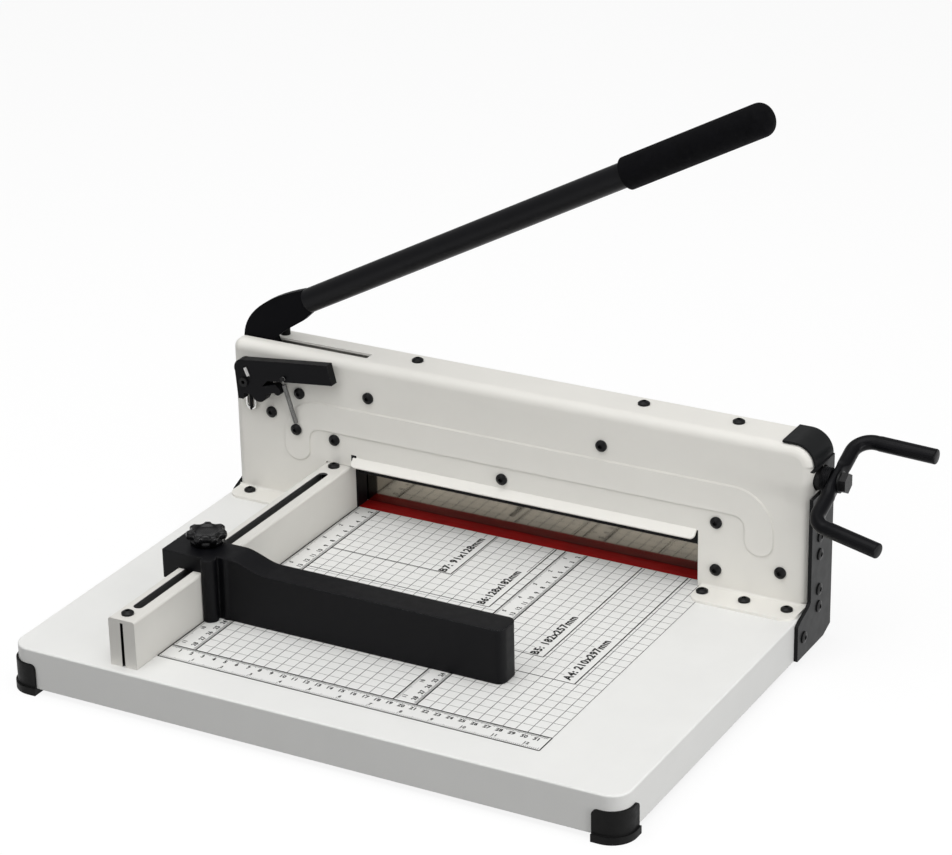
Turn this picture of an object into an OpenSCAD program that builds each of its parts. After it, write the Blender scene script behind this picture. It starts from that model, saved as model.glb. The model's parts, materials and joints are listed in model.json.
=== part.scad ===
// Manual stack paper cutter: flat base board, upright blade housing, lever blade, crank clamp, side fence.
// Sizes in millimetres. X runs along the blade, Y runs to the back, Z is up from the floor.
// Inside the modules X counts from the rail face, Y from the cut line, Z from the table top.

/* [Base board] */
// Width of the base board, along the blade
board_w = 512.5; // [420:0.5:620]
// Depth of the base board, front to back
board_d = 358; // [300:1:440]
// Height of the board's sides
board_h = 32; // [24:1:45]
// Sheet thickness of the board
board_wall = 2; // [1.2:0.1:4]
// Radius of the two front corners
board_corner_r = 16; // [10:1:30]
// Radius of the two rear corners
board_rear_r = 8; // [5:0.5:14]
// Rounding of the top edge
board_edge_r = 1.5; // [0.5:0.1:2]
// Distance from the board's left edge to the grid zero beside the rail
rail_from_left = 111; // [95:0.5:140]
// Distance from the board's front edge to the cut line
front_to_cut = 343.5; // [290:0.5:400]
// Thickness of the plate that closes the underside
panel_t = 2; // [1:0.1:4]

/* [Feet] */
// Height of a foot below the board
foot_under = 5; // [3:0.5:12]
// Diameter of the two rear foot pads
pad_d = 28; // [18:1:40]
// Distance of the rear foot pads from the board's rear corners
pad_set = 24; // [20:1:50]
// How far a front foot reaches up the board's side
foot_up = 20; // [12:1:23]
// Length of a front foot along each side
foot_l = 23; // [20:1:40]
// Wall of a foot outside the board
foot_wall = 2; // [1:0.1:4]
// How far the bottom lip of a foot stands out from the board
foot_lip = 3.5; // [2.5:0.1:8]
// Height of the bottom lip
foot_lip_h = 6; // [4:0.5:10]
// Rounding of a foot's upper ends
foot_end_r = 4; // [1:0.5:8]

/* [Guide rail] */
// Width of the rail
rail_w = 23; // [20:0.5:28]
// Height of the rail above the table
rail_h = 39; // [30:0.5:50]
// Gap between the grid zero and the rail's face
rail_off = 1; // [0.4:0.1:3]
// Distance of the rail's front end from the board's front edge
rail_front = 8.5; // [4:0.5:25]
// Distance of the rail's back end from the cut line
rail_back = 16; // [14.5:0.5:20]
// Sheet thickness of the rail
rail_wall = 1.8; // [1:0.1:3]
// Width of the slot along the rail's top
rail_slot_w = 8; // [7.6:0.1:10]
// Distance of the slot's front end from the rail's front end
rail_slot_front = 21; // [16:1:40]
// Distance of the slot and the rail screws to the left of the rail's middle
rail_slot_set = 1; // [0:0.1:2]
// Distance of the slot's back end from the cut line
rail_slot_back = 43; // [36:1:60]
// Rounding of the rail's top edges
rail_edge_r = 2; // [0.8:0.1:3]
// Gap between the two folded flaps at the rail's front
rail_flap_gap = 2.6; // [1:0.1:5]
// Length of the solid block under each rail screw
rail_block_l = 14; // [10:1:20]

/* [Housing] */
// Height of the housing above the table
cover_h = 132; // [115:1:170]
// Distance of the housing's face in front of the cut line
cover_front = 23.5; // [22:0.5:30]
// Distance of the housing's back edge behind the cut line
cover_back = 12.5; // [12.5:0.5:14]
// Sheet thickness of the housing
cover_wall = 2; // [1.2:0.1:2.2]
// Radius of the housing's upper right corner
cover_corner_r = 16; // [12:1:24]
// Bend radius round the housing's front face and upper left corner
cover_edge_r = 8; // [4:0.5:10]
// Width of the paper opening
throat_w = 309; // [250:1:340]
// Height of the paper opening at the sheet edge
throat_h = 47; // [40:0.5:56]
// Length of the lip that flares out over the opening
lip_l = 8.6; // [5:0.1:10]
// Slope of the lip from level
lip_slope = 45; // [30:1:60]
// Gap between each end of the lip and the opening's side
lip_end_gap = 1.5; // [1:0.5:8]
// Rounding of the lip's free corners
lip_r = 4; // [1:0.5:5]
// Height of the raised band's top edge
band_top = 90.5; // [80:0.5:100]
// Width of the raised band
band_w = 24.5; // [14:0.5:28]
// Distance from the opening's side to the raised band's leg
band_side = 38.5; // [30:0.5:46]
// Height of the rounded ends of the raised band's legs
band_foot = 48; // [24:1:54]
// Outer corner radius of the raised band
band_r = 34; // [28:1:45]
// How far the band stands out
band_out = 1; // [0.4:0.1:2]
// Length of the right screw flange in front of the housing
flange_l = 27.5; // [20:0.5:36]
// Length of the left screw flange in front of the housing
flange_left_l = 21.5; // [18:0.5:30]
// Rounding of the flange corners
flange_r = 11; // [4:0.5:14]
// Thickness of the rear plate
rear_t = 1.8; // [1:0.1:2.4]

/* [Side plates] */
// Thickness of the black side plates
plate_t = 3; // [2:0.1:5]
// How far a side plate reaches in front of the housing's face
plate_front = 3; // [1:0.5:6]
// How far a side plate's foot reaches in front of the cut line
plate_foot = 50; // [40:1:70]
// Height of the left side plate above the table
plate_left_h = 84; // [60:1:84]
// Distance of the left side plate's front edge in front of the cut line
plate_left_front = 9; // [7:0.5:26]
// How far the left side plate's foot reaches in front of the cut line
plate_left_foot = 29; // [24:1:60]
// Height where a side plate starts to step out to its foot
plate_step_z = 8; // [4:0.5:10]
// Height of the step
plate_step_h = 12; // [8:0.5:14]
// Height of the cut rear lower corner of a side plate
plate_cut = 5; // [4:0.5:14]
// Length of the flap over the right end of the housing's top
flap_l = 26; // [20:1:40]
// Sheet thickness of the flap
flap_t = 2; // [1:0.1:3]
// Distance of the flap's front edge behind the side plate's front edge
flap_set = 7; // [4:0.5:12]

/* [Lever] */
// Distance of the lever's pivot from the housing's left side
pivot_from_left = 27; // [24.5:0.5:30]
// Height of the lever's pivot
pivot_z = 104; // [102:0.5:106]
// Diameter of the pivot shaft
pivot_d = 14; // [10:0.5:16]
// Outer radius of the lever's hub
hub_r = 18; // [14:0.5:20]
// Thickness of the flat elbow
elbow_t = 7; // [5:0.5:8]
// Distance of the elbow's back face in front of the cut line
elbow_set = 4; // [3.5:0.1:5]
// Gap between the elbow and each side of its slot
slot_gap = 0.9; // [0.5:0.1:1.5]
// Length of the slot in the top, from the housing's left side
slot_l = 121.5; // [105:0.5:140]
// Depth of the slot down the left side
slot_down = 46; // [40:1:50]
// Angle of the tube above level
lever_angle = 27.7; // [20:0.1:36]
// Length of the bare tube
tube_l = 322; // [240:1:420]
// Outer diameter of the tube
tube_d = 20; // [16:0.5:24]
// Wall of the tube
tube_wall = 2; // [1:0.1:3]
// Length of the grip
grip_l = 130; // [100:1:170]
// Outer diameter of the grip
grip_d = 26; // [23:0.5:34]
// Length of the tube inside the grip
tube_in_grip = 112; // [70:1:115]
// Length of the spigot inside the tube
spigot_l = 34; // [20:1:60]
// Angle that the lever rises
lever_rise = 45; // [30:1:46]
// Distance from the pivot to the drive pin
drive_r = 50; // [46:0.5:52]
// Angle of the drive pin below level
drive_angle = 28; // [26:0.5:29]
// Diameter of the drive pin
drive_pin_d = 10; // [8:0.5:11]
// Diameter of the rubber stop beside the lever
stop_d = 8; // [6:0.5:11]
// Height of the rubber stop
stop_h = 6.5; // [4:0.5:8]

/* [Blade] */
// Thickness of the blade
blade_t = 4.5; // [3:0.1:4.6]
// Height of the blade
blade_h = 45; // [38:0.5:50]
// How far the blade passes each side of the opening
blade_over = 7; // [4:0.5:10]
// Height of the ground bevel
bevel_h = 11; // [7:0.5:16]
// Height of the resting edge above the stick
edge_gap = 0.3; // [0.2:0.1:0.8]
// Thickness of the bar that carries the blade
bar_t = 5; // [4:0.1:5]
// Height of the bar's lower edge
bar_z = 20; // [14:0.5:24]
// How far the blade moves sideways over its stroke
side_shift = 14; // [6:0.5:16]
// Diameter of the two guide pins
guide_d = 12; // [9:0.5:14]
// Height of the guide pins
guide_z = 76; // [74:0.5:78]
// Width of the red cutting stick
stick_w = 22; // [18:0.5:24]
// Distance of the stick's front edge in front of the cut line
stick_front = 14.5; // [13:0.5:16]
// Depth of the stick in the table
stick_h = 8; // [5:0.5:12]

/* [Clamp] */
// Travel of the clamp bar
clamp_lift = 30.5; // [28:0.5:36]
// Thickness of the clamp bar
clamp_t = 9; // [6:0.5:10]
// Distance of the clamp bar's back face in front of the cut line
clamp_set = 5; // [4:0.5:6]
// Height of the clamp bar
clamp_h = 60.5; // [58:0.5:62]
// Thickness of the wedge plate that drives the clamp
wedge_t = 4; // [3:0.1:4.2]
// Diameter of the follower pins in the wedge plate
follower_d = 8; // [6:0.5:9]
// Width of the wedge plate's rim round its slots
wedge_rim = 7; // [5:0.5:8]
// Height of the drive screw
screw_z = 104; // [103:0.5:108]
// Distance of the drive screw in front of the cut line
screw_set = 9; // [8.5:0.5:10]
// Diameter of the drive screw
screw_d = 12; // [9:0.5:12.5]

/* [Crank] */
// Diameter of the crank rod
crank_d = 11.5; // [9:0.5:14]
// Distance of the crank's middle from the right side plate
crank_out = 10.5; // [8:0.5:14]
// Distance from the shaft to the upper grip
crank_arm = 46; // [38:0.5:60]
// Distance from the shaft to the lower grip
crank_low_arm = 48.5; // [38:0.5:60]
// Bend radius of the rod
crank_bend = 14; // [10:0.5:20]
// Angle of the crank at rest
crank_angle = 22; // [0:1:40]
// Length of the upper grip from the crank's middle
crank_grip = 64.5; // [50:0.5:90]
// Length of the lower grip from the crank's middle
crank_low_grip = 58.5; // [46:0.5:80]
// Inward lean of the upper grip
crank_up_lean = 3; // [0:0.5:8]
// Outward lean of the lower grip
crank_lean = 14; // [0:1:16]
// Thickness of the sleeve on each grip
crank_sleeve = 0.25; // [0.2:0.05:3]

/* [Safety lock] */
// Distance of the lock's pivot from the housing's left side
lock_from_left = 19; // [16:0.5:22]
// Height of the lock's pivot
lock_z = 102; // [98:0.5:104]
// Thickness of the lock lever
lock_t = 8; // [6:0.5:9]
// Length of the lock lever from its pivot
lock_l = 82.5; // [70:0.5:92]
// Height of the lock lever's handle
lock_h = 17; // [15:0.5:20]
// Upward tilt of the lock lever
lock_tilt = 6.3; // [0:0.1:8]
// Thickness of the block behind the lock lever
lock_block_t = 4.5; // [4:0.1:5.5]
// Outer diameter of the lock spring
spring_d = 3.8; // [3.4:0.1:4.4]
// Wire diameter of the lock spring
spring_wire = 0.6; // [0.5:0.05:0.65]
// Number of coils in the lock spring
spring_coils = 31; // [20:1:34]

/* [Side fence] */
// Distance of the fence's front face from the cut line
fence_at = 236; // [140:1:260]
// Thickness of the fence arm
fence_t = 24; // [18:0.5:30]
// Length of the fence arm from the grid zero
fence_l = 252; // [200:1:300]
// Height of the fence arm
fence_h = 44; // [36:0.5:46]
// Height of the saddle's top
saddle_h = 52; // [49:0.5:60]
// Length of the saddle along the rail
saddle_l = 40.5; // [38:0.5:56]
// How far the saddle stands out in front of the arm
saddle_out = 7; // [4:0.5:10]
// How far the saddle's left lip reaches down beside the rail
saddle_lip = 10.5; // [3:0.5:14]
// Wall of the saddle beside the rail
saddle_wall = 12.5; // [8:0.5:18]
// Radius of the boss column beside the rail
boss_r = 6.2; // [4:0.1:8]
// Diameter of the star knob
knob_d = 32; // [28:0.5:40]
// Height of the star knob's grip
knob_h = 7; // [6:0.5:12]
// Height of the hub under the star knob's grip
knob_hub = 4.2; // [3:0.1:8]
// Distance of the knob's middle from the saddle's back edge
knob_back = 15; // [12:0.5:24]
// Diameter of the knob's stud
stud_d = 5.6; // [4:0.1:6]

/* [Fasteners] */
// Head diameter of the button screws
head_d = 9.5; // [7:0.5:11]
// Head height of the button screws
head_h = 3.4; // [2:0.1:4]
// Head height of the side plates' screws
plate_head_h = 1.8; // [1.5:0.1:3.4]
// Shank diameter of the screws
shank_d = 4; // [3:0.1:5]

/* [Hidden] */
$fn = 48;
eps = 0.5;
run_gap = 0.05;
fit_gap = 0.15;
loose_gap = 0.4;

board_x0 = -rail_from_left;
board_x1 = board_x0 + board_w;
board_y0 = -front_to_cut;
board_y1 = board_y0 + board_d;
table_z = board_h + foot_under;

rail_x1 = -rail_off;
rail_x0 = rail_x1 - rail_w;
rail_mid = (rail_x0 + rail_x1) / 2;
rail_line = rail_mid - rail_slot_set;
rail_y0 = board_y0 + rail_front;
rail_y1 = -rail_back;
rail_screw_front = rail_y0 + rail_slot_front / 2;
rail_screw_back = -(rail_back + rail_slot_back) / 2;

cover_y0 = -cover_front;
cover_y1 = cover_back;
cover_in = cover_y0 + cover_wall;
rear_y0 = cover_y1 - rear_t;
lip_x0 = lip_end_gap;
lip_x1 = throat_w - lip_end_gap;
side_room = board_x1 - throat_w;
lip_root = throat_h + 1;

pivot_x = board_x0 + pivot_from_left;
elbow_y1 = -elbow_set;
elbow_y0 = elbow_y1 - elbow_t;
slot_y0 = elbow_y0 - slot_gap;
slot_y1 = elbow_y1 + slot_gap;
tube_x = pivot_x + 40;
tube_z = pivot_z + 67;
drive_x = pivot_x + drive_r * cos(drive_angle);
drive_z = pivot_z - drive_r * sin(drive_angle);
stroke = drive_r * (sin(lever_rise - drive_angle) + sin(drive_angle));
drive_x_up = pivot_x + drive_r * cos(lever_rise - drive_angle);

blade_x0 = -blade_over;
blade_x1 = throat_w + blade_over;
bar_y0 = blade_t + fit_gap;
bar_y1 = bar_y0 + bar_t;
bar_top = drive_z + drive_pin_d / 2 + 3.3;
guide_xs = [throat_w * 0.2, throat_w * 0.8];
bolt_xs = [throat_w * 0.04, throat_w * 0.4, throat_w * 0.6, throat_w * 0.96];
bolt_z = bar_z + 12;

clamp_y1 = -clamp_set;
clamp_y0 = clamp_y1 - clamp_t;
clamp_z = clamp_lift;
clamp_x0 = 1;
clamp_x1 = throat_w - 1;
follower_z = clamp_z + clamp_h - 7;
follower_xs = [throat_w * 0.22, throat_w * 0.78];
wedge_y1 = clamp_y0 - 1.5;
wedge_y0 = wedge_y1 - wedge_t;
wedge_slot_r = follower_d / 2 + 0.25;
wedge_x0 = follower_xs[0] - clamp_lift - wedge_slot_r - wedge_rim;
wedge_x1 = follower_xs[1] + wedge_slot_r + wedge_rim;
wedge_z0 = follower_z - clamp_lift - wedge_slot_r - wedge_rim;
wedge_z1 = screw_z + screw_d / 2 + 4;
screw_y = -screw_set;
nut_x0 = throat_w * 0.5;
nut_l = 24;
bearing_l = 14;
bearing_left = wedge_x0 - bearing_l - 1;
bearing_right = throat_w + (side_room - bearing_l) * 0.764;
bearing_y1 = screw_y + screw_d / 2 + 2;

plate_right = board_x1 + fit_gap;
plate_y0 = cover_y0 - plate_front;
crank_x = plate_right + plate_t + crank_out;
crank_grip_d = crank_d + 2 * crank_sleeve;
crank_turn_x = crank_bend * (1 + sin(crank_up_lean));
crank_x1 = crank_x + crank_turn_x + (crank_grip - crank_turn_x) * cos(crank_up_lean)
    + crank_grip_d / 2 * sin(crank_up_lean);
crank_y1 = screw_y + crank_arm * cos(crank_angle) + crank_grip_d / 2;

lock_x = board_x0 + lock_from_left;
lock_y1 = cover_y0 - lock_block_t - loose_gap;
lock_y0 = lock_y1 - lock_t;
hook_x = lock_x + 38.3;
hook_z = lock_z + 9.6;
hook_d = 2.6;
lock_pin_d = 3.2;
lock_pin_l = 7.6;
lock_pin_slant = 23;
anchor_x = lock_x + 41.7;
anchor_z = lock_z - 38.4;
anchor_y = cover_y0 - 2;
spring_top = [hook_x + 0.4, lock_y0 - 1.1, hook_z - hook_d / 2 - spring_wire / 2 - 0.2];
spring_low = [anchor_x - 0.6, cover_y0 - 1.2, anchor_z + shank_d / 2 + spring_wire / 2 + 0.3];
spring_lead = 5.5;

fence_y0 = -fence_at;
fence_y1 = fence_y0 + fence_t;
saddle_y0 = fence_y0 - saddle_out;
saddle_y1 = saddle_y0 + saddle_l;
knob_x = rail_line + 0.8;
knob_y = saddle_y1 - knob_back;
knob_z = saddle_h + loose_gap;

left_end = board_x0 - fit_gap - plate_t - plate_head_h;
mid_x = (left_end + crank_x1) / 2;
mid_y = (board_y0 - foot_lip + crank_y1) / 2;

band_x1 = throat_w + side_room * 0.6811;
guide_screw_x = throat_w + side_room * 0.165;
panel_screws_at = [[board_x0 + 64, 95.3], [board_x0 + 36.5, 74], [-15.5, 60], [17.7, 103],
    [throat_w * 0.733, 102], [throat_w * 0.448, 56], [guide_screw_x, 57], [guide_screw_x, 17],
    [board_x1 - 23.5, 26]];
top_screws_at = [50.5, 251, board_x1 - 70.5];
flange_y = cover_y0 - flange_l * 0.44;
flange_xs = [throat_w + 9.4, board_x1 - 12.6];
flange_screws_at = [[board_x0 + 16, cover_y0 - flange_left_l * 0.36], [flange_xs[0], flange_y],
    [(flange_xs[0] + flange_xs[1]) / 2, flange_y], [flange_xs[1], flange_y]];
plate_screw_rows = [57, 42, 12.5, -2];
plate_screw_y = -11;
left_screw_y = 2;
plate_bolt_z = -16;
plate_bolt_y = -plate_foot + 11.5;
left_bolt_y = -plate_left_foot + 11.5;
posts_at = [panel_screws_at[1], panel_screws_at[8]];

spring_path = spring_points();
spring_least_gap = min([for (i = [0:len(spring_path) - 1]) for (j = [i + 5:len(spring_path) - 1])
    norm(spring_path[i] - spring_path[j])]) - spring_wire;
echo(spring_least_gap = spring_least_gap);

module at_table() {
    translate([-mid_x, -mid_y, table_z]) children();
}

// Extrudes an X-Z outline from y0 to y1
module along_y(y0, y1) {
    translate([0, y1, 0]) rotate([90, 0, 0]) linear_extrude(y1 - y0) children();
}

// Extrudes a Y-Z outline from x0 to x1
module along_x(x0, x1) {
    translate([x0, 0, 0]) rotate([90, 0, 90]) linear_extrude(x1 - x0) children();
}

module rod_x(y, z, d, x0, x1) {
    translate([x0, y, z]) rotate([0, 90, 0]) cylinder(d = d, h = x1 - x0);
}

module rod_y(x, z, d, y0, y1) {
    translate([x, y1, z]) rotate([90, 0, 0]) cylinder(d = d, h = y1 - y0);
}

module rod_z(x, y, d, z0, z1) {
    translate([x, y, z0]) cylinder(d = d, h = z1 - z0);
}

module box(x0, x1, y0, y1, z0, z1) {
    translate([x0, y0, z0]) cube([x1 - x0, y1 - y0, z1 - z0]);
}

// Straight slot with round ends between two points of an outline
module slot2d(a, b, r) {
    run = b - a;
    long = norm(run);
    translate(a) rotate(atan2(run[1], run[0])) {
        circle(r);
        translate([long, 0]) circle(r);
        translate([0, -r]) square([long, 2 * r]);
    }
}

// Button head screw, seated at z = 0 with its shank below
module button_screw(shank_l, tall = head_h) {
    dome = head_d * 0.72 * head_h / tall;
    difference() {
        intersection() {
            cylinder(d = head_d, h = tall);
            translate([0, 0, tall - dome]) sphere(dome);
        }
        translate([0, 0, tall * 0.4]) cylinder(d = head_d * 0.42, h = tall, $fn = 6);
    }
    translate([0, 0, -shank_l]) cylinder(d = shank_d, h = shank_l + eps);
}

// Outline of the board, drawn in by a distance
module board_plan(inset) {
    rf = board_corner_r;
    rb = board_rear_r;
    x0 = board_x0 + inset;
    x1 = board_x1 - inset;
    y0 = board_y0 + inset;
    y1 = board_y1 - inset;
    translate([x0, board_y0 + rf]) square([x1 - x0, board_d - rf - rb]);
    translate([board_x0 + rf, y0]) square([board_w - 2 * rf, y1 - y0]);
    translate([board_x0 + rb, board_y1 - rb]) square([board_w - 2 * rb, rb - inset]);
    for (x = [board_x0 + rf, board_x1 - rf]) {
        translate([x, board_y0 + rf]) circle(rf - inset);
    }
    for (x = [board_x0 + rb, board_x1 - rb]) {
        translate([x, board_y1 - rb]) circle(rb - inset);
    }
}

module ring(x, y, z, big_r, small_r) {
    translate([x, y, z]) rotate_extrude() translate([big_r - small_r, 0]) circle(small_r);
}

// Section through the board's edge: outer face at x = 0, table top at y = 0
module tray_section() {
    e = board_edge_r;
    r = board_rear_r;
    difference() {
        translate([-r, -board_h]) square([r, board_h]);
        translate([-r - eps, -board_h - eps]) square([r + eps - board_wall, board_h + eps - board_wall]);
        difference() {
            translate([-e, -e]) square(e + eps);
            translate([-e, -e]) circle(e);
        }
    }
}

module tray_corner(x, y, r, turn) {
    translate([x, y, 0]) rotate(turn) rotate_extrude(angle = 90) translate([r, 0]) tray_section();
}

// Straight sides, rounded corners and top of the board
module tray_shell() {
    rf = board_corner_r;
    rb = board_rear_r;
    box(board_x0 + rb, board_x1 - rb, board_y0 + rb, board_y1 - rb, -board_wall, 0);
    along_x(board_x0 + rf, board_x1 - rf) translate([board_y0, 0]) mirror([1, 0]) tray_section();
    along_x(board_x0 + rb, board_x1 - rb) translate([board_y1, 0]) tray_section();
    along_y(board_y0 + rf, board_y1 - rb) {
        translate([board_x0, 0]) mirror([1, 0]) tray_section();
        translate([board_x1, 0]) tray_section();
    }
    tray_corner(board_x1 - rb, board_y1 - rb, rb, 0);
    tray_corner(board_x0 + rb, board_y1 - rb, rb, 90);
    tray_corner(board_x0 + rf, board_y0 + rf, rf, 180);
    tray_corner(board_x1 - rf, board_y0 + rf, rf, 270);
}

module base_tray() {
    channel_z = -board_wall - stick_h;
    boss_l = 8;
    hole = shank_d + 2 * fit_gap;
    color([0.86, 0.87, 0.86]) at_table() difference() {
        union() {
            tray_shell();
            box(-12, throat_w + 12, -stick_front - 6, board_y1 - board_wall / 2, channel_z, -board_wall / 2);
            for (p = flange_screws_at) {
                rod_z(p[0], p[1], 3 * shank_d, -board_wall - boss_l, -board_wall / 2);
            }
        }
        box(-fit_gap, throat_w + fit_gap, -stick_front - fit_gap, stick_w - stick_front + fit_gap,
            -stick_h - fit_gap, eps);
        for (y = [rail_screw_front, rail_screw_back]) {
            rod_z(rail_line, y, hole, -board_wall - 1, eps);
        }
        for (p = flange_screws_at) {
            rod_z(p[0], p[1], hole, -board_wall - boss_l - 1, eps);
        }
        rod_x(left_bolt_y, plate_bolt_z, hole, board_x0 - eps, board_x0 + board_wall + eps);
        rod_x(plate_bolt_y, plate_bolt_z, hole, board_x1 - board_wall - eps, board_x1 + eps);
    }
}

module base_panel() {
    color([0.3, 0.3, 0.31]) at_table() translate([0, 0, -board_h]) linear_extrude(panel_t)
        board_plan(board_wall + fit_gap);
}

// One foot shape round the whole board, cut to the corners
module foot_ring(out, z0, z1) {
    difference() {
        translate([0, 0, z0]) linear_extrude(z1 - z0) board_plan(-out);
        translate([0, 0, -board_h]) linear_extrude(board_h) board_plan(-fit_gap);
    }
}

// Outline that keeps the two ends of a side and rounds their upper corners
module foot_ends(a0, a1, z1, out) {
    r = foot_end_r;
    for (s = [[a0 - out - eps, a0 + foot_l, 1], [a1 + out + eps, a1 - foot_l, -1]]) {
        low = min(s[0], s[1]);
        wide = abs(s[1] - s[0]);
        translate([low, -table_z]) square([wide, z1 - r + table_z]);
        translate([s[2] > 0 ? low : low + r, -table_z]) square([wide - r, z1 + table_z]);
        translate([s[1] - s[2] * r, z1 - r]) circle(r);
    }
}

module corner_feet() {
    z1 = foot_up - board_h;
    big = foot_lip + 1;
    color([0.08, 0.08, 0.085]) at_table() intersection() {
        union() {
            foot_ring(foot_wall, -table_z, z1);
            foot_ring(foot_lip, -table_z, -table_z + foot_lip_h);
        }
        along_y(board_y0 - big, board_y1 + big) foot_ends(board_x0, board_x1, z1, big);
        along_x(board_x0 - big, board_x1 + big) intersection() {
            foot_ends(board_y0, board_y1, z1, big);
            translate([board_y0 - 2 * big, -table_z]) square([board_d / 2, 2 * table_z]);
        }
    }
}

module rear_feet() {
    color([0.08, 0.08, 0.085]) at_table() for (x = [board_x0 + pad_set, board_x1 - pad_set]) {
        rod_z(x, board_y1 - pad_set, pad_d, -table_z, -board_h);
    }
}

module cutting_stick() {
    color([0.62, 0.05, 0.06]) at_table()
        box(0, throat_w, -stick_front, stick_w - stick_front, -stick_h, 0);
}

module rail_outline() {
    r = rail_edge_r;
    translate([rail_x0, 0]) square([rail_w, rail_h - r]);
    translate([rail_x0 + r, 0]) square([rail_w - 2 * r, rail_h]);
    for (x = [rail_x0 + r, rail_x1 - r]) {
        translate([x, rail_h - r]) circle(r);
    }
}

module guide_rail() {
    w = rail_wall;
    color([0.86, 0.87, 0.86]) at_table() difference() {
        along_y(rail_y0, rail_y1) rail_outline();
        difference() {
            box(rail_x0 + w, rail_x1 - w, rail_y0 + w, rail_y1 - w, -eps, rail_h - w);
            for (y = [rail_screw_front, rail_screw_back]) {
                box(rail_x0, rail_x1, y - rail_block_l / 2, y + rail_block_l / 2, -1, rail_h);
            }
        }
        box(rail_mid - rail_flap_gap / 2, rail_mid + rail_flap_gap / 2, rail_y0 - eps, rail_y0 + w + eps,
            -eps, rail_h - w - 1);
        translate([0, 0, rail_h - w - eps]) linear_extrude(w + 2 * eps)
            slot2d([rail_line, rail_y0 + rail_slot_front + rail_slot_w / 2],
                [rail_line, -rail_slot_back - rail_slot_w / 2], rail_slot_w / 2);
        for (y = [rail_screw_front, rail_screw_back]) {
            rod_z(rail_line, y, shank_d + 2 * fit_gap, -eps, rail_h + eps);
        }
    }
}

module rail_screws() {
    color([0.06, 0.06, 0.065]) at_table() for (y = [rail_screw_front, rail_screw_back]) {
        translate([rail_line, y, rail_h]) button_screw(rail_h + board_wall);
    }
}

// Outline of the housing seen from the front, drawn in by a distance
module cover_plan(inset) {
    l = cover_edge_r;
    r = cover_corner_r;
    x0 = board_x0 + inset;
    x1 = board_x1 - inset;
    translate([x0, 0]) square([x1 - x0, cover_h - r]);
    translate([x0, 0]) square([board_w / 2, cover_h - l]);
    translate([board_x0 + l, 0]) square([board_w - l - r, cover_h - inset]);
    translate([board_x0 + l, cover_h - l]) circle(l - inset);
    translate([board_x1 - r, cover_h - r]) circle(r - inset);
}

// Outline of the flat part of the housing's face
module cover_face() {
    l = cover_edge_r;
    r = cover_corner_r;
    translate([board_x0 + l, 0]) square([board_w - 2 * l, cover_h - r]);
    translate([board_x0 + l, 0]) square([board_w - l - r, cover_h - l]);
    translate([board_x1 - r, cover_h - r]) circle(r - l);
}

// Solid inside the housing's outer surface, drawn in by a distance
module cover_solid(inset, back) {
    e = cover_edge_r;
    r = cover_corner_r;
    d = 2 * (e - inset);
    y = cover_y0 + e;
    along_y(y, back) cover_plan(inset);
    along_y(cover_y0 + inset, back) cover_face();
    rod_z(board_x0 + e, y, d, 0, cover_h - e);
    rod_z(board_x1 - e, y, d, 0, cover_h - r);
    rod_x(y, cover_h - e, d, board_x0 + e, board_x1 - r);
    translate([board_x0 + e, y, cover_h - e]) sphere(d = d);
    translate([board_x1 - r, y, cover_h - r]) rotate([90, 0, 0]) ring(0, 0, 0, r - inset, e - inset);
}

module band_outline(grow) {
    x0 = -band_side - band_w + grow;
    x1 = band_x1 - grow;
    r = band_r - grow;
    w = band_w - 2 * grow;
    top = band_top - grow;
    for (s = [0, 1]) {
        translate([s == 0 ? x0 + w / 2 : x1 - w / 2, band_foot]) circle(w / 2);
        translate([s == 0 ? x0 : x1 - w, band_foot]) square([w, top - r - band_foot]);
        translate([s == 0 ? x0 + r : x1 - r, top - r]) intersection() {
            difference() {
                circle(r);
                circle(r - w);
            }
            translate([s == 0 ? -r : 0, 0]) square(r);
        }
    }
    translate([x0 + r, top - w]) square([x1 - x0 - 2 * r, w]);
}

module flange(x0, x1, long) {
    y0 = cover_y0 - long;
    r = flange_r;
    difference() {
        linear_extrude(cover_wall) {
            translate([x0 + r, y0]) square([x1 - x0 - 2 * r, long + cover_wall]);
            translate([x0, y0 + r]) square([x1 - x0, long + cover_wall - r]);
            for (x = [x0 + r, x1 - r]) {
                translate([x, y0 + r]) circle(r);
            }
        }
        for (p = flange_screws_at) {
            rod_z(p[0], p[1], shank_d + 2 * fit_gap, -eps, cover_wall + eps);
        }
    }
    translate([0, cover_y0, cover_wall]) along_x(x0, x1) difference() {
        translate([-cover_wall, 0]) square(cover_wall);
        translate([-cover_wall, cover_wall]) circle(cover_wall);
    }
}

module lip() {
    r = lip_r;
    l = lip_x1 - lip_x0;
    translate([lip_x0, cover_y0, lip_root]) rotate([180 + lip_slope, 0, 0])
        linear_extrude(cover_wall) {
            square([l, lip_l - r]);
            translate([r, 0]) square([l - 2 * r, lip_l]);
            for (x = [r, l - r]) {
                translate([x, lip_l - r]) circle(r);
            }
        }
}

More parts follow.
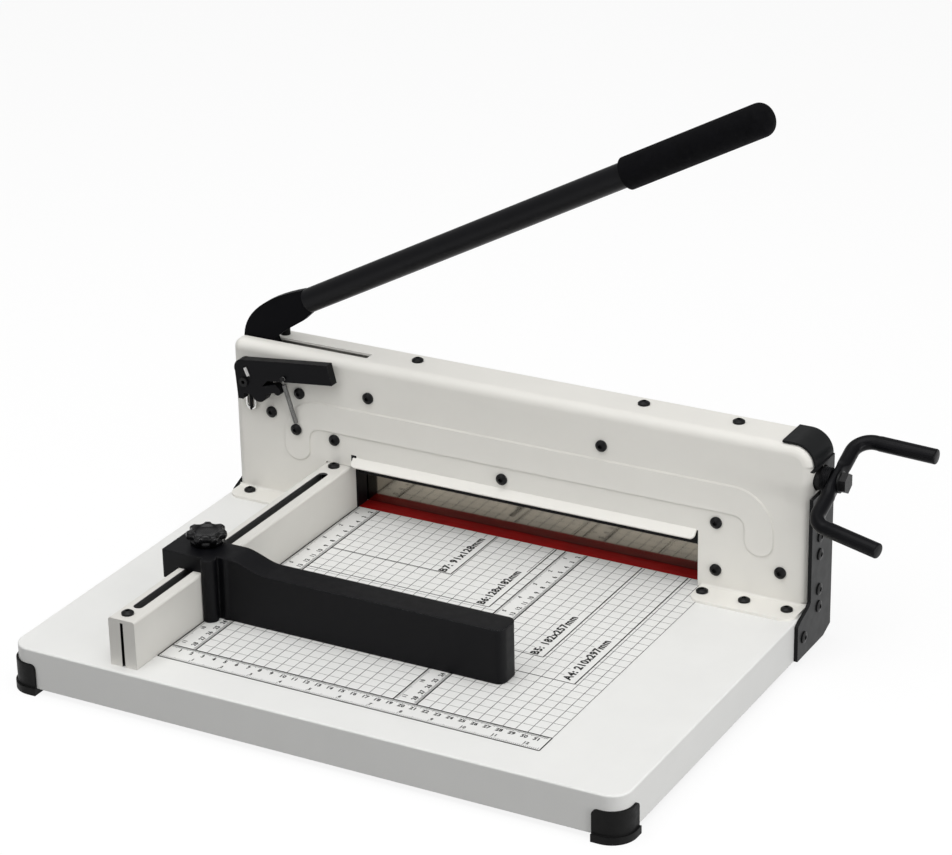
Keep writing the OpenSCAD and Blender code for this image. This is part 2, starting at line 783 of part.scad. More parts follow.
module front_cover() {
    w = cover_wall;
    hole = shank_d + 2 * fit_gap;
    before = cover_y0 - 2 * band_out - eps;
    color([0.86, 0.87, 0.86]) at_table() {
        difference() {
            union() {
                cover_solid(0, cover_y1);
                along_y(cover_y0 - band_out / 2, cover_y0 + 1) band_outline(0);
                along_y(cover_y0 - band_out, cover_y0 + 1) band_outline(band_out * 0.7);
            }
            cover_solid(w, cover_y1 + eps);
            box(board_x0 + w, board_x1 - w, cover_y0 + cover_edge_r, cover_y1 + eps, -eps, 1);
            box(board_x0 + cover_edge_r, board_x1 - cover_edge_r, cover_in, cover_y1, -eps, 1);
            box(0, throat_w, before, cover_in + eps, -eps, throat_h);
            box(rail_x0 - loose_gap, eps, before, cover_in + eps, -eps, rail_h + loose_gap);
            box(board_x0 - eps, board_x0 + slot_l, slot_y0, slot_y1, cover_h - w - 3 * eps, cover_h + eps);
            box(board_x0 - eps, board_x0 + cover_edge_r + w, slot_y0, slot_y1, cover_h - slot_down,
                cover_h + eps);
            for (p = panel_screws_at) {
                rod_y(p[0], p[1], hole, before, cover_in + eps);
            }
            rod_y(anchor_x, anchor_z, hole, before, cover_in + eps);
            rod_y(lock_x, lock_z, hole, cover_y0 - eps, cover_in + eps);
            for (x = top_screws_at) {
                rod_z(x, top_screw_y(), hole, cover_h - w - eps, cover_h + eps);
            }
            rod_z(stop_x(), stop_y(), hole, cover_h - w - eps, cover_h + eps);
            rod_x(screw_y, screw_z, screw_d + 8, board_x1 - w - eps, board_x1 + eps);
            for (z = plate_screw_rows) {
                rod_x(plate_screw_y, z, hole, board_x1 - w - eps, board_x1 + eps);
                rod_x(left_screw_y, z, hole, board_x0 - eps, board_x0 + w + eps);
            }
        }
        difference() {
            lip();
            box(0, throat_w, cover_in, cover_in + lip_l, 0, cover_h);
        }
        flange(board_x0 + 2, rail_x0 - 2, flange_left_l);
        flange(throat_w + 3, board_x1 - 2, flange_l);
    }
}

function top_screw_y() = (cover_y1 + slot_y1) / 2 - 4;
function stop_x() = pivot_x + 8;
function stop_y() = (slot_y1 + rear_y0) / 2 + 1;

module rear_plate() {
    hole = shank_d + 2 * fit_gap;
    color([0.8, 0.81, 0.8]) at_table() difference() {
        along_y(rear_y0, cover_y1) intersection() {
            cover_plan(cover_wall + fit_gap);
            translate([board_x0, fit_gap]) square([board_w, cover_h]);
        }
        for (p = posts_at) {
            rod_y(p[0], p[1], hole, rear_y0 - eps, cover_y1 + eps);
        }
        for (x = guide_xs) {
            rod_y(x, guide_z, guide_d / 2 + 2 * run_gap, rear_y0 - eps, cover_y1 + eps);
        }
        rod_y(pivot_x, pivot_z, pivot_d + 2 * run_gap, rear_y0 - eps, cover_y1 + eps);
    }
}

// Side plate outline in the Y-Z plane, with the S-shaped step down to its foot
module plate_outline(top, front, foot) {
    step = [for (i = [0:8]) [
        front - (foot + front) * (1 - cos(i * 22.5)) / 2,
        plate_step_z - plate_step_h * i / 8]];
    polygon(concat(
        [[cover_y1 + 1, top], [front, top]],
        step,
        [[-foot, -board_h], [0, -board_h], [cover_y1 + 1, -board_h + plate_cut]]));
}

module plate_holes(x0, y, bolt_y) {
    for (z = plate_screw_rows) {
        rod_x(y, z, shank_d + 2 * fit_gap, x0 - eps, x0 + plate_t + eps);
    }
    rod_x(bolt_y, plate_bolt_z, shank_d + 2 * fit_gap, x0 - eps, x0 + plate_t + eps);
}

module side_plate_right() {
    x0 = plate_right;
    r = cover_corner_r + fit_gap;
    bend_x = board_x1 - cover_corner_r;
    bend_z = cover_h - cover_corner_r;
    flap_y0 = plate_y0 + flap_set;
    color([0.08, 0.08, 0.085]) at_table() {
        difference() {
            along_x(x0, x0 + plate_t) plate_outline(bend_z, plate_y0, plate_foot);
            plate_holes(x0, plate_screw_y, plate_bolt_y);
            rod_x(screw_y, screw_z, screw_d + 10, x0 - eps, x0 + plate_t + eps);
            box(x0 - eps, x0 + plate_t + eps, plate_y0 - eps, screw_y, screw_z - screw_d / 2 - 5,
                screw_z + screw_d / 2 + 5);
        }
        along_y(flap_y0, cover_y1 + 1) {
            translate([bend_x, bend_z]) intersection() {
                difference() {
                    circle(r + flap_t);
                    circle(r);
                }
                square(r + flap_t);
            }
            translate([board_x1 + fit_gap - flap_l, cover_h + fit_gap])
                square([flap_l - r, flap_t]);
        }
    }
}

module side_plate_left() {
    x0 = board_x0 - fit_gap - plate_t;
    color([0.08, 0.08, 0.085]) at_table() difference() {
        along_x(x0, x0 + plate_t) plate_outline(plate_left_h, -plate_left_front, plate_left_foot);
        plate_holes(x0, left_screw_y, left_bolt_y);
    }
}

module panel_screws() {
    color([0.06, 0.06, 0.065]) at_table() for (p = panel_screws_at) {
        translate([p[0], cover_y0 - panel_seat(p), p[1]]) rotate([90, 0, 0])
            button_screw(cover_wall + panel_seat(p) + 1.4);
    }
}

// Screws on the raised band seat on its face
function panel_seat(p) = on_band(p) ? band_out : 0;
function on_band(p) = p[1] < band_top && p[1] > band_top - band_w && p[0] > -band_side - band_w
    && p[0] < band_x1;

module top_screws() {
    color([0.06, 0.06, 0.065]) at_table() for (x = top_screws_at) {
        translate([x, top_screw_y(), cover_h]) button_screw(cover_wall + 1);
    }
}

module flange_screws() {
    color([0.06, 0.06, 0.065]) at_table() for (p = flange_screws_at) {
        translate([p[0], p[1], cover_wall]) button_screw(cover_wall + board_wall + 5);
    }
}

// Screw through a side plate, with its head to the right or to the left
module plate_screw(side, y, z, shank_l) {
    x = side > 0 ? plate_right + plate_t : board_x0 - fit_gap - plate_t;
    translate([x, y, z]) rotate([0, 90 * side, 0]) button_screw(shank_l, plate_head_h);
}

module plate_screws() {
    long = plate_t + fit_gap + cover_wall + 2;
    color([0.05, 0.05, 0.055]) at_table() {
        for (z = plate_screw_rows) {
            l = z > shank_d ? long : plate_t;
            plate_screw(1, plate_screw_y, z, l);
            plate_screw(-1, left_screw_y, z, l);
        }
        plate_screw(1, plate_bolt_y, plate_bolt_z, long);
        plate_screw(-1, left_bolt_y, plate_bolt_z, long);
    }
}

module tie_posts() {
    color([0.6, 0.6, 0.62]) at_table() for (p = posts_at) {
        difference() {
            rod_y(p[0], p[1], 2.4 * shank_d, cover_in, rear_y0);
            rod_y(p[0], p[1], shank_d + 2 * fit_gap, cover_in - eps, rear_y0 + eps);
        }
    }
}

module rear_screws() {
    color([0.06, 0.06, 0.065]) at_table() for (p = posts_at) {
        translate([p[0], cover_y1, p[1]]) rotate([-90, 0, 0]) button_screw(rear_t + 10);
    }
}

module pivot_shaft() {
    color([0.62, 0.63, 0.65]) at_table()
        rod_y(pivot_x, pivot_z, pivot_d, cover_in + run_gap, cover_y1 - run_gap);
}

module pivot_bush(y0, y1) {
    difference() {
        rod_y(pivot_x, pivot_z, pivot_d + 8, y0, y1);
        rod_y(pivot_x, pivot_z, pivot_d + 2 * run_gap, y0 - eps, y1 + eps);
    }
}

module pivot_bushes() {
    color([0.5, 0.5, 0.52]) at_table() {
        pivot_bush(cover_in, elbow_y0 - loose_gap);
        pivot_bush(elbow_y1 + loose_gap, rear_y0);
    }
}

module lever_stop() {
    color([0.05, 0.05, 0.055]) at_table() {
        rod_z(stop_x(), stop_y(), stop_d, cover_h, cover_h + stop_h);
        rod_z(stop_x(), stop_y(), shank_d, cover_h - cover_wall - 1, cover_h + 1);
    }
}

module guide_pins() {
    color([0.62, 0.63, 0.65]) at_table() for (x = guide_xs) {
        rod_y(x, guide_z, guide_d, bar_y0 + run_gap, rear_y0 - run_gap);
        rod_y(x, guide_z, guide_d / 2, bar_y0 + run_gap, cover_y1);
    }
}

module clamp_guides() {
    top = clamp_z + clamp_h;
    hole = shank_d + 2 * fit_gap;
    color([0.07, 0.07, 0.075]) at_table() difference() {
        union() {
            box(rail_x0, 0, rail_y1 + loose_gap, -1, 0, top);
            box(rail_x0, 0, cover_in, -1, rail_h + 1, top);
            box(throat_w, throat_w + side_room / 4, cover_in, -1, 0, top);
        }
        for (p = [panel_screws_at[2], panel_screws_at[6], panel_screws_at[7]]) {
            rod_y(p[0], p[1], hole, cover_in - eps, cover_in + 6);
        }
    }
}

module screw_bearings() {
    p = panel_screws_at[3];
    up = screw_d / 2 + 4;
    color([0.5, 0.5, 0.52]) at_table() for (x = [bearing_left, bearing_right]) {
        difference() {
            box(x, x + bearing_l, cover_in, bearing_y1, screw_z - up, screw_z + up);
            rod_x(screw_y, screw_z, screw_d + 2 * run_gap, x - eps, x + bearing_l + eps);
            rod_y(p[0], p[1], shank_d + 2 * fit_gap, cover_in - eps, cover_in + 3);
        }
    }
}

// Elbow outline, counted from the pivot
module elbow_outline() {
    ends = [[-22, 28], [-20, 58], [36, 76]];
    n = 14;
    arc = [for (i = [0:n]) let (t = i / n)
        (1 - t) * (1 - t) * ends[0] + 2 * t * (1 - t) * ends[1] + t * t * ends[2]];
    under = [[44, 58], [35, 49.5], [19, 39], [7.5, 30], [hub_r, 4]];
    polygon(concat([[-hub_r, 0]], arc, under));
    circle(hub_r);
    rotate(-drive_angle) {
        polygon([[0, hub_r * 0.9], [drive_r, 9], [drive_r, -9], [0, -hub_r * 0.9]]);
        translate([drive_r, 0]) circle(9);
    }
}

module along_lever(s) {
    translate([tube_x, (elbow_y0 + elbow_y1) / 2, tube_z]) rotate([0, 90 - lever_angle, 0])
        translate([0, 0, s]) children();
}

module lever_elbow() {
    spigot_d = tube_d - 2 * tube_wall - 2 * fit_gap;
    color([0.06, 0.06, 0.065]) at_table() difference() {
        union() {
            difference() {
                translate([pivot_x, 0, pivot_z]) along_y(elbow_y0, elbow_y1) elbow_outline();
                along_lever(0) cylinder(d = 3 * tube_d, h = 2 * tube_d);
            }
            along_lever(-1) cylinder(d = spigot_d, h = spigot_l);
        }
        rod_y(pivot_x, pivot_z, pivot_d + 2 * run_gap, elbow_y0 - eps, elbow_y1 + eps);
        rod_y(drive_x, drive_z, drive_pin_d + 2 * run_gap, elbow_y0 - eps, elbow_y1 + eps);
    }
}

module lever_tube() {
    color([0.06, 0.06, 0.065]) at_table() along_lever(fit_gap) difference() {
        cylinder(d = tube_d, h = tube_l + tube_in_grip);
        translate([0, 0, -eps]) cylinder(d = tube_d - 2 * tube_wall, h = tube_l + tube_in_grip + 2 * eps);
    }
}

module lever_grip() {
    round_r = grip_d * 0.36;
    color([0.04, 0.04, 0.045]) at_table() along_lever(tube_l) difference() {
        rotate_extrude() {
            square([grip_d / 2, grip_l - round_r]);
            square([grip_d / 2 - round_r, grip_l]);
            intersection() {
                translate([grip_d / 2 - round_r, grip_l - round_r]) circle(round_r);
                translate([0, grip_l - 2 * round_r]) square([grip_d, 2 * round_r]);
            }
        }
        translate([0, 0, -eps]) cylinder(d = tube_d + 2 * fit_gap, h = tube_in_grip + 1 + eps);
    }
}

module drive_pin() {
    color([0.62, 0.63, 0.65]) at_table() rod_y(drive_x, drive_z, drive_pin_d, elbow_y0, bar_y1 - run_gap);
}

module blade() {
    color([0.8, 0.81, 0.82]) at_table() difference() {
        along_x(blade_x0, blade_x1) translate([0, edge_gap])
            polygon([[0, 0], [0, blade_h], [blade_t, blade_h], [blade_t, bevel_h], [fit_gap, 0]]);
        for (x = bolt_xs) {
            rod_y(x, bolt_z, shank_d + 4 + 2 * fit_gap, 1, blade_t + eps);
        }
    }
}

module blade_bar() {
    lug_x0 = drive_x_up - side_shift - drive_pin_d / 2 - 9;
    color([0.35, 0.36, 0.38]) at_table() along_y(bar_y0, bar_y1) difference() {
        union() {
            translate([blade_x0, bar_z]) square([blade_x1 - blade_x0, bar_top - bar_z]);
            translate([lug_x0, drive_z - 13]) square([blade_x0 - lug_x0 + 1, bar_top - drive_z + 13]);
        }
        slot2d([drive_x_up - side_shift - 1, drive_z], [drive_x + 1, drive_z], drive_pin_d / 2 + 0.7);
        for (x = guide_xs) {
            slot2d([x, guide_z], [x - side_shift, guide_z - stroke], guide_d / 2 + 0.3);
        }
        for (x = bolt_xs) {
            translate([x, bolt_z]) circle(d = shank_d + 4 + 2 * fit_gap);
        }
    }
}

module blade_bolts() {
    color([0.1, 0.1, 0.105]) at_table() for (x = bolt_xs) {
        difference() {
            rod_y(x, bolt_z, shank_d + 4, 1, bar_y1);
            translate([x, bar_y1 + eps, bolt_z]) rotate([90, 0, 0]) cylinder(d = shank_d, h = 2, $fn = 6);
        }
    }
}

module clamp_bar() {
    color([0.05, 0.05, 0.055]) at_table() difference() {
        box(clamp_x0, clamp_x1, clamp_y0, clamp_y1, clamp_z, clamp_z + clamp_h);
        for (x = follower_xs) {
            rod_y(x, follower_z, follower_d + 2 * run_gap, clamp_y0 - eps, clamp_y1 + eps);
        }
    }
}

module follower_pins() {
    color([0.62, 0.63, 0.65]) at_table() for (x = follower_xs) {
        rod_y(x, follower_z, follower_d, wedge_y0, clamp_y1);
    }
}

module wedge_plate() {
    color([0.45, 0.46, 0.48]) at_table() along_y(wedge_y0, wedge_y1) difference() {
        translate([wedge_x0, wedge_z0]) square([wedge_x1 - wedge_x0, wedge_z1 - wedge_z0]);
        for (x = follower_xs) {
            slot2d([x, follower_z], [x - clamp_lift, follower_z - clamp_lift], wedge_slot_r);
        }
    }
}

module wedge_nut() {
    color([0.7, 0.55, 0.25]) at_table() difference() {
        box(nut_x0, nut_x0 + nut_l, wedge_y1, bearing_y1, clamp_z + clamp_h + loose_gap, wedge_z1);
        rod_x(screw_y, screw_z, screw_d + 2 * run_gap, nut_x0 - eps, nut_x0 + nut_l + eps);
    }
}

module drive_screw() {
    hub_x = crank_x - crank_d * 0.28;
    color([0.35, 0.36, 0.38]) at_table() difference() {
        union() {
            rod_x(screw_y, screw_z, screw_d, bearing_left + 1, hub_x);
            rod_x(screw_y, screw_z, screw_d + 6, plate_right - 1, hub_x);
        }
        rod_x(screw_y, screw_z, shank_d + 4 + 2 * fit_gap, hub_x - 16, hub_x + eps);
    }
}

// Half of the crank: arm along Y, bend, grip along X with an outward lean
module crank_half(arm, grip, lean) {
    turn = 90 - lean;
    end = [crank_bend * (1 - sin(lean)), arm - crank_bend * (1 - cos(lean))];
    translate([0, crank_d * 0.9, 0]) rotate([-90, 0, 0])
        cylinder(d = crank_d, h = arm - crank_bend - crank_d * 0.9);
    translate([crank_bend, arm - crank_bend, 0]) rotate(180) mirror([0, 1, 0])
        rotate_extrude(angle = turn) translate([crank_bend, 0]) circle(d = crank_d);
    translate([end[0], end[1], 0]) rotate(lean) rotate([0, 90, 0]) translate([0, 0, -1.5])
        cylinder(d = crank_grip_d, h = grip - end[0] + 1.5);
}

module crank_rod() {
    flat = crank_d * 0.56;
    color([0.05, 0.05, 0.055]) at_table() translate([crank_x, screw_y, screw_z]) rotate([crank_angle, 0, 0])
        difference() {
            union() {
                crank_half(crank_arm, crank_grip, -crank_up_lean);
                rotate([180, 0, 0]) crank_half(crank_low_arm, crank_low_grip, crank_lean);
                translate([-flat / 2, -crank_d * 1.3, -crank_d * 0.72])
                    cube([flat, crank_d * 2.6, crank_d * 1.44]);
            }
            rotate([0, 90, 0]) cylinder(d = shank_d + 4 + 2 * fit_gap, h = 4 * crank_d, center = true);
        }
}

module crank_bolt() {
    x0 = crank_x + crank_d * 0.28;
    color([0.07, 0.07, 0.075]) at_table() {
        rod_x(screw_y, screw_z, shank_d + 4, x0 - crank_d * 0.56 - 15, x0 + 2);
        rod_x(screw_y, screw_z, crank_d * 1.5, x0, x0 + 1.5);
        translate([x0 + 1.5, screw_y, screw_z]) rotate([0, 90, 0])
            cylinder(d = crank_d * 1.45, h = 5.5, $fn = 6);
    }
}

module lock_block() {
    color([0.05, 0.05, 0.055]) at_table() difference() {
        box(lock_x - 6.5, lock_x + 20, cover_y0 - lock_block_t, cover_y0, lock_z - 10, lock_z + 14);
        rod_y(lock_x, lock_z, shank_d + 2 * fit_gap, cover_y0 - lock_block_t - eps, cover_y0 + eps);
        for (x = loop_xs()) {
            rod_z(x, loop_y(), loop_d() + 2 * run_gap, lock_z - 11, lock_z - 2);
        }
    }
}

module lock_bolt() {
    color([0.3, 0.3, 0.31]) at_table() difference() {
        union() {
            rod_y(lock_x, lock_z, shank_d, lock_y0 - 1, cover_in - fit_gap);
            rod_y(lock_x, lock_z, shank_d + 4, lock_y0 - 1.6, lock_y0 - run_gap);
        }
        rod_y(lock_x, lock_z, shank_d * 0.8, lock_y0 - 1.6 - eps, lock_y0 + 2);
    }
}

function loop_d() = 2.4;
function loop_y() = cover_y0 - lock_block_t / 2;
function loop_xs() = [lock_x - 4.5, lock_x + 3.5];

module lock_loop() {
    z = lock_z - 23.5;
    mid = (loop_xs()[0] + loop_xs()[1]) / 2;
    color([0.85, 0.86, 0.87]) at_table() {
        for (x = loop_xs()) {
            rod_z(x, loop_y(), loop_d(), z, lock_z - 2.4);
        }
        translate([mid, loop_y(), z]) rotate([90, 0, 0]) rotate([0, 0, 180]) rotate_extrude(angle = 180)
            translate([mid - loop_xs()[0], 0]) circle(d = loop_d());
    }
}

module lock_anchor() {
    color([0.06, 0.06, 0.065]) at_table() translate([anchor_x, anchor_y, anchor_z]) rotate([90, 0, 0])
        button_screw(cover_in - anchor_y + 1.4);
}

function spring_run() = norm(spring_low - spring_top);
function spring_pitch() = (spring_run() - 2 * spring_lead) / spring_coils;

// Centre line of the spring: straight lead, coils with tapered ends, straight lead
function spring_points() = let (steps = 8, count = spring_coils * steps, run = spring_run(),
    mid_r = (spring_d - spring_wire) / 2) concat(
        [[0, 0, 0], [0, 0, spring_lead * 0.6]],
        [for (i = [0:count]) let (a = 360 * i / steps, f = min(1, i / steps, (count - i) / steps))
            [mid_r * f * cos(a), mid_r * f * sin(a), spring_lead + spring_pitch() * i / steps]],
        [[0, 0, run - spring_lead * 0.6], [0, 0, run]]);

// Tube of six sides swept along the spring's centre line, from the upper eye to the lower eye
module lock_spring() {
    sides = 6;
    run = spring_run();
    path = spring_path;
    last = len(path) - 1;
    side = function (i) let (d = path[min(i + 1, last)] - path[max(i - 1, 0)], n = d / norm(d))
        let (u = cross(n, [0.31, 0.95, 0.02]), v = u / norm(u)) [v, cross(n, v)];
    rings = [for (i = [0:last]) let (s = side(i)) for (k = [0:sides - 1])
        path[i] + spring_wire / 2 * (cos(360 * k / sides) * s[0] + sin(360 * k / sides) * s[1])];
    walls = [for (i = [0:last - 1]) for (k = [0:sides - 1]) let (n = (k + 1) % sides)
        each [[i * sides + k, i * sides + n, (i + 1) * sides + n],
            [i * sides + k, (i + 1) * sides + n, (i + 1) * sides + k]]];
    ends = [for (k = [1:sides - 2]) each [[0, k + 1, k],
        [last * sides, last * sides + k, last * sides + k + 1]]];
    dir = (spring_low - spring_top) / run;
    color([0.75, 0.76, 0.77]) at_table() translate(spring_top)
        rotate([0, acos(dir[2]), atan2(dir[1], dir[0])])
            polyhedron(points = rings, faces = concat(walls, ends));
}

// Lock lever outline, counted from its pivot
module lock_outline() {
    end_slant = 2.2;
    hub_round = 8;
    rotate(lock_tilt) translate([2, 2.2])
        polygon([[0, 0], [lock_l, 0], [lock_l - end_slant, lock_h], [0, lock_h]]);
    translate([-0.8, 11.4]) circle(hub_round);
    translate([-0.8, 4]) square([8, 15]);
    polygon([[-8.5, 12.2], [-6.2, -15.4], [-1.6, -15.4], [-1.2, -10], [8, -10], [26, 8], [8, 14]]);
    translate([13.7, -8.3]) circle(7);
    slot2d([16, -5], [29, -1.2], 3.4);
    slot2d([29, -1.2], [31.6, -3.2], 3.2);
}

module lock_lever() {
    color([0.06, 0.06, 0.065]) at_table() difference() {
        translate([lock_x, 0, lock_z]) along_y(lock_y0, lock_y1) lock_outline();
        rod_y(lock_x, lock_z, shank_d + 2 * run_gap, lock_y0 - eps, lock_y1 + eps);
        lock_pin_at() cylinder(d = lock_pin_d + 2 * run_gap, h = lock_pin_l + 0.6, center = true);
        rod_y(hook_x, hook_z, hook_d + 2 * run_gap, lock_y0 - eps, lock_y0 + 4);
    }
}

// Place of the slanted pin, half sunk in the lever's face
module lock_pin_at() {
    translate([lock_x + 3.2, lock_y0, lock_z + 9.6]) rotate([0, -lock_pin_slant, 0]) children();
}

module lock_pin() {
    color([0.8, 0.81, 0.82]) at_table() lock_pin_at()
        cylinder(d = lock_pin_d, h = lock_pin_l, center = true);
}

module lock_hook() {
    color([0.3, 0.3, 0.31]) at_table() {
        rod_y(hook_x, hook_z, hook_d, lock_y0 - 2, lock_y0 + 3.8);
        rod_y(hook_x, hook_z, hook_d + 1.4, lock_y0 - 2.6, lock_y0 - 1.8);
    }
}

// Fence arm seen from the front: low along most of its length, stepping up to the saddle
module fence_outline() {
    x0 = 18;
    x1 = 51;
    n = 12;
    step = [for (i = [0:n]) [x0 + (x1 - x0) * i / n,
        fence_h + (saddle_h - fence_h) * (1 + cos(180 * i / n)) / 2]];
    polygon(concat([[0, loose_gap], [0, saddle_h]], step, [[fence_l, fence_h], [fence_l, loose_gap]]));
}

module fence_arm() {
    r = 7;
    gap = loose_gap;
    wall = 4;
    left = rail_x0 - gap - saddle_wall;
    leg = 8;
    back = -6;
    color([0.05, 0.05, 0.055]) at_table() difference() {
        union() {
            intersection() {
                along_y(fence_y0, fence_y1) fence_outline();
                translate([0, 0, -eps]) linear_extrude(saddle_h + 2 * eps) {
                    translate([-eps, fence_y0]) square([fence_l - r + eps, fence_t]);
                    translate([-eps, fence_y0 + r]) square([fence_l + eps, fence_t - 2 * r]);
                    for (y = [fence_y0 + r, fence_y1 - r]) {
                        translate([fence_l - r, y]) circle(r);
                    }
                }
            }
            box(left, back, saddle_y0, saddle_y1, rail_h + gap, saddle_h);
            box(back - eps, leg, saddle_y0, fence_y1, rail_h + gap, saddle_h);
            box(left, rail_x0 - gap, saddle_y0, saddle_y1, rail_h - saddle_lip, saddle_h);
            box(rail_x1 + gap, leg, saddle_y0, fence_y1, gap, saddle_h);
            intersection() {
                rod_z(rail_x1 + gap + boss_r * 0.6, saddle_y0 + boss_r * 0.35, 2 * boss_r, gap, saddle_h);
                box(rail_x1 + gap, leg + boss_r, saddle_y0 - boss_r, fence_y1, 0, saddle_h + eps);
            }
            rod_z(leg + boss_r, fence_y0 + boss_r * 0.7, 1.7 * boss_r, gap, saddle_h);
        }
        rod_z(knob_x, knob_y, stud_d + 2 * fit_gap, rail_h, saddle_h + eps);
        box(20, fence_l - 2 * wall, fence_y0 + wall, fence_y1 - wall, -eps, fence_h - wall);
    }
}

module fence_nut() {
    z1 = rail_h - rail_wall - 0.2;
    color([0.55, 0.56, 0.58]) at_table() difference() {
        box(rail_mid - 7, rail_mid + 7, knob_y - 11, knob_y + 11, z1 - 6, z1);
        rod_z(knob_x, knob_y, stud_d + 2 * run_gap, z1 - 6 - eps, z1 + eps);
    }
}

module fence_stud() {
    color([0.6, 0.61, 0.63]) at_table()
        rod_z(knob_x, knob_y, stud_d, rail_h - rail_wall - 6, knob_z + 8);
}

module fence_knob() {
    lobes = 7;
    first = 145;
    color([0.045, 0.045, 0.05]) at_table() translate([knob_x, knob_y, knob_z]) difference() {
        union() {
            cylinder(d = knob_d * 0.8, h = knob_hub + 1);
            translate([0, 0, knob_hub]) intersection() {
                cylinder(d = knob_d, h = knob_h);
                translate([0, 0, knob_h - knob_d * 1.1]) sphere(knob_d * 1.1);
            }
        }
        for (i = [0:lobes - 1]) {
            rotate(360 / lobes * i + first) translate([knob_d * 0.6, 0, knob_hub - 1])
                cylinder(d = knob_d * 0.36, h = knob_h + 2);
        }
        translate([0, 0, knob_hub + knob_h - 1.2]) cylinder(d = knob_d * 0.5, h = 3);
        translate([0, 0, -eps]) cylinder(d = stud_d + 2 * run_gap, h = 8 + run_gap + eps);
    }
}

base_tray();
base_panel();
corner_feet();
rear_feet();
cutting_stick();
guide_rail();
rail_screws();
front_cover();
rear_plate();
side_plate_right();
side_plate_left();
panel_screws();
top_screws();
flange_screws();
plate_screws();
tie_posts();
rear_screws();
pivot_shaft();
pivot_bushes();
lever_stop();
guide_pins();
clamp_guides();
screw_bearings();
lever_elbow();
lever_tube();
lever_grip();
drive_pin();
blade();
blade_bar();
blade_bolts();
clamp_bar();
follower_pins();
wedge_plate();
wedge_nut();
drive_screw();
crank_rod();
crank_bolt();
lock_block();
lock_bolt();
lock_loop();
lock_anchor();
lock_spring();
lock_lever();
lock_pin();
lock_hook();
fence_arm();
fence_nut();
fence_stud();
fence_knob();
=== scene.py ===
"""Stack paper cutter: finishes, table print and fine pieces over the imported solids."""

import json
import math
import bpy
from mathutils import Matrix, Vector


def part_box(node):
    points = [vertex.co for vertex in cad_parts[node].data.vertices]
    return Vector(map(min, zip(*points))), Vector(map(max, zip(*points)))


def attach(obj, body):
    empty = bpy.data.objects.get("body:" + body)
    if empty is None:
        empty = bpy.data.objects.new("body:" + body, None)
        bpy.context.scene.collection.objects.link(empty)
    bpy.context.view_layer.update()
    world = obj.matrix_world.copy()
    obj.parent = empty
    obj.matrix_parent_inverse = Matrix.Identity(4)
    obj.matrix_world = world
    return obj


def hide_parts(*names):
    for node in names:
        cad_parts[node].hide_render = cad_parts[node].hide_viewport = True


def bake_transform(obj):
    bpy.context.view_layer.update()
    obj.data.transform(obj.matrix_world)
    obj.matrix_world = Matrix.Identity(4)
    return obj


bl_info = {
    "name": "Stack Paper Cutter",
    "version": (1, 0, 0),
    "blender": (4, 5, 0),
    "location": "View3D > Sidebar > Cutter",
    "description": "Dresses the stack paper cutter's solids with finishes, a table print and fine pieces",
    "category": "Object",
}

import bmesh
import bpy
from bpy.props import FloatProperty, FloatVectorProperty, IntProperty, PointerProperty
from mathutils import Matrix, Vector

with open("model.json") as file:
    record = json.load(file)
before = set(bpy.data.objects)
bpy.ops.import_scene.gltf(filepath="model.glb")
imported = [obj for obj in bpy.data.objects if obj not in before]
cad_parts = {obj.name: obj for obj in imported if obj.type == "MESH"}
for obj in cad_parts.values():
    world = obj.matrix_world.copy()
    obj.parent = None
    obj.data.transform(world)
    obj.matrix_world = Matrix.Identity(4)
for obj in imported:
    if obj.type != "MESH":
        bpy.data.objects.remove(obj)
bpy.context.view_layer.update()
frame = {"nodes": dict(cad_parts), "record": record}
MM = 0.001

# Zero of the table print: the grid's left edge, the cut line and the table's top
TABLE = Vector((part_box("guide_rail")[1].x + MM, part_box("blade")[0].y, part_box("base_tray")[1].z))


def spot(x, y, z=0.0):
    """Point in millimetres from the print's zero, as metres in the shared frame."""
    return TABLE + Vector((x, y, z)) * MM


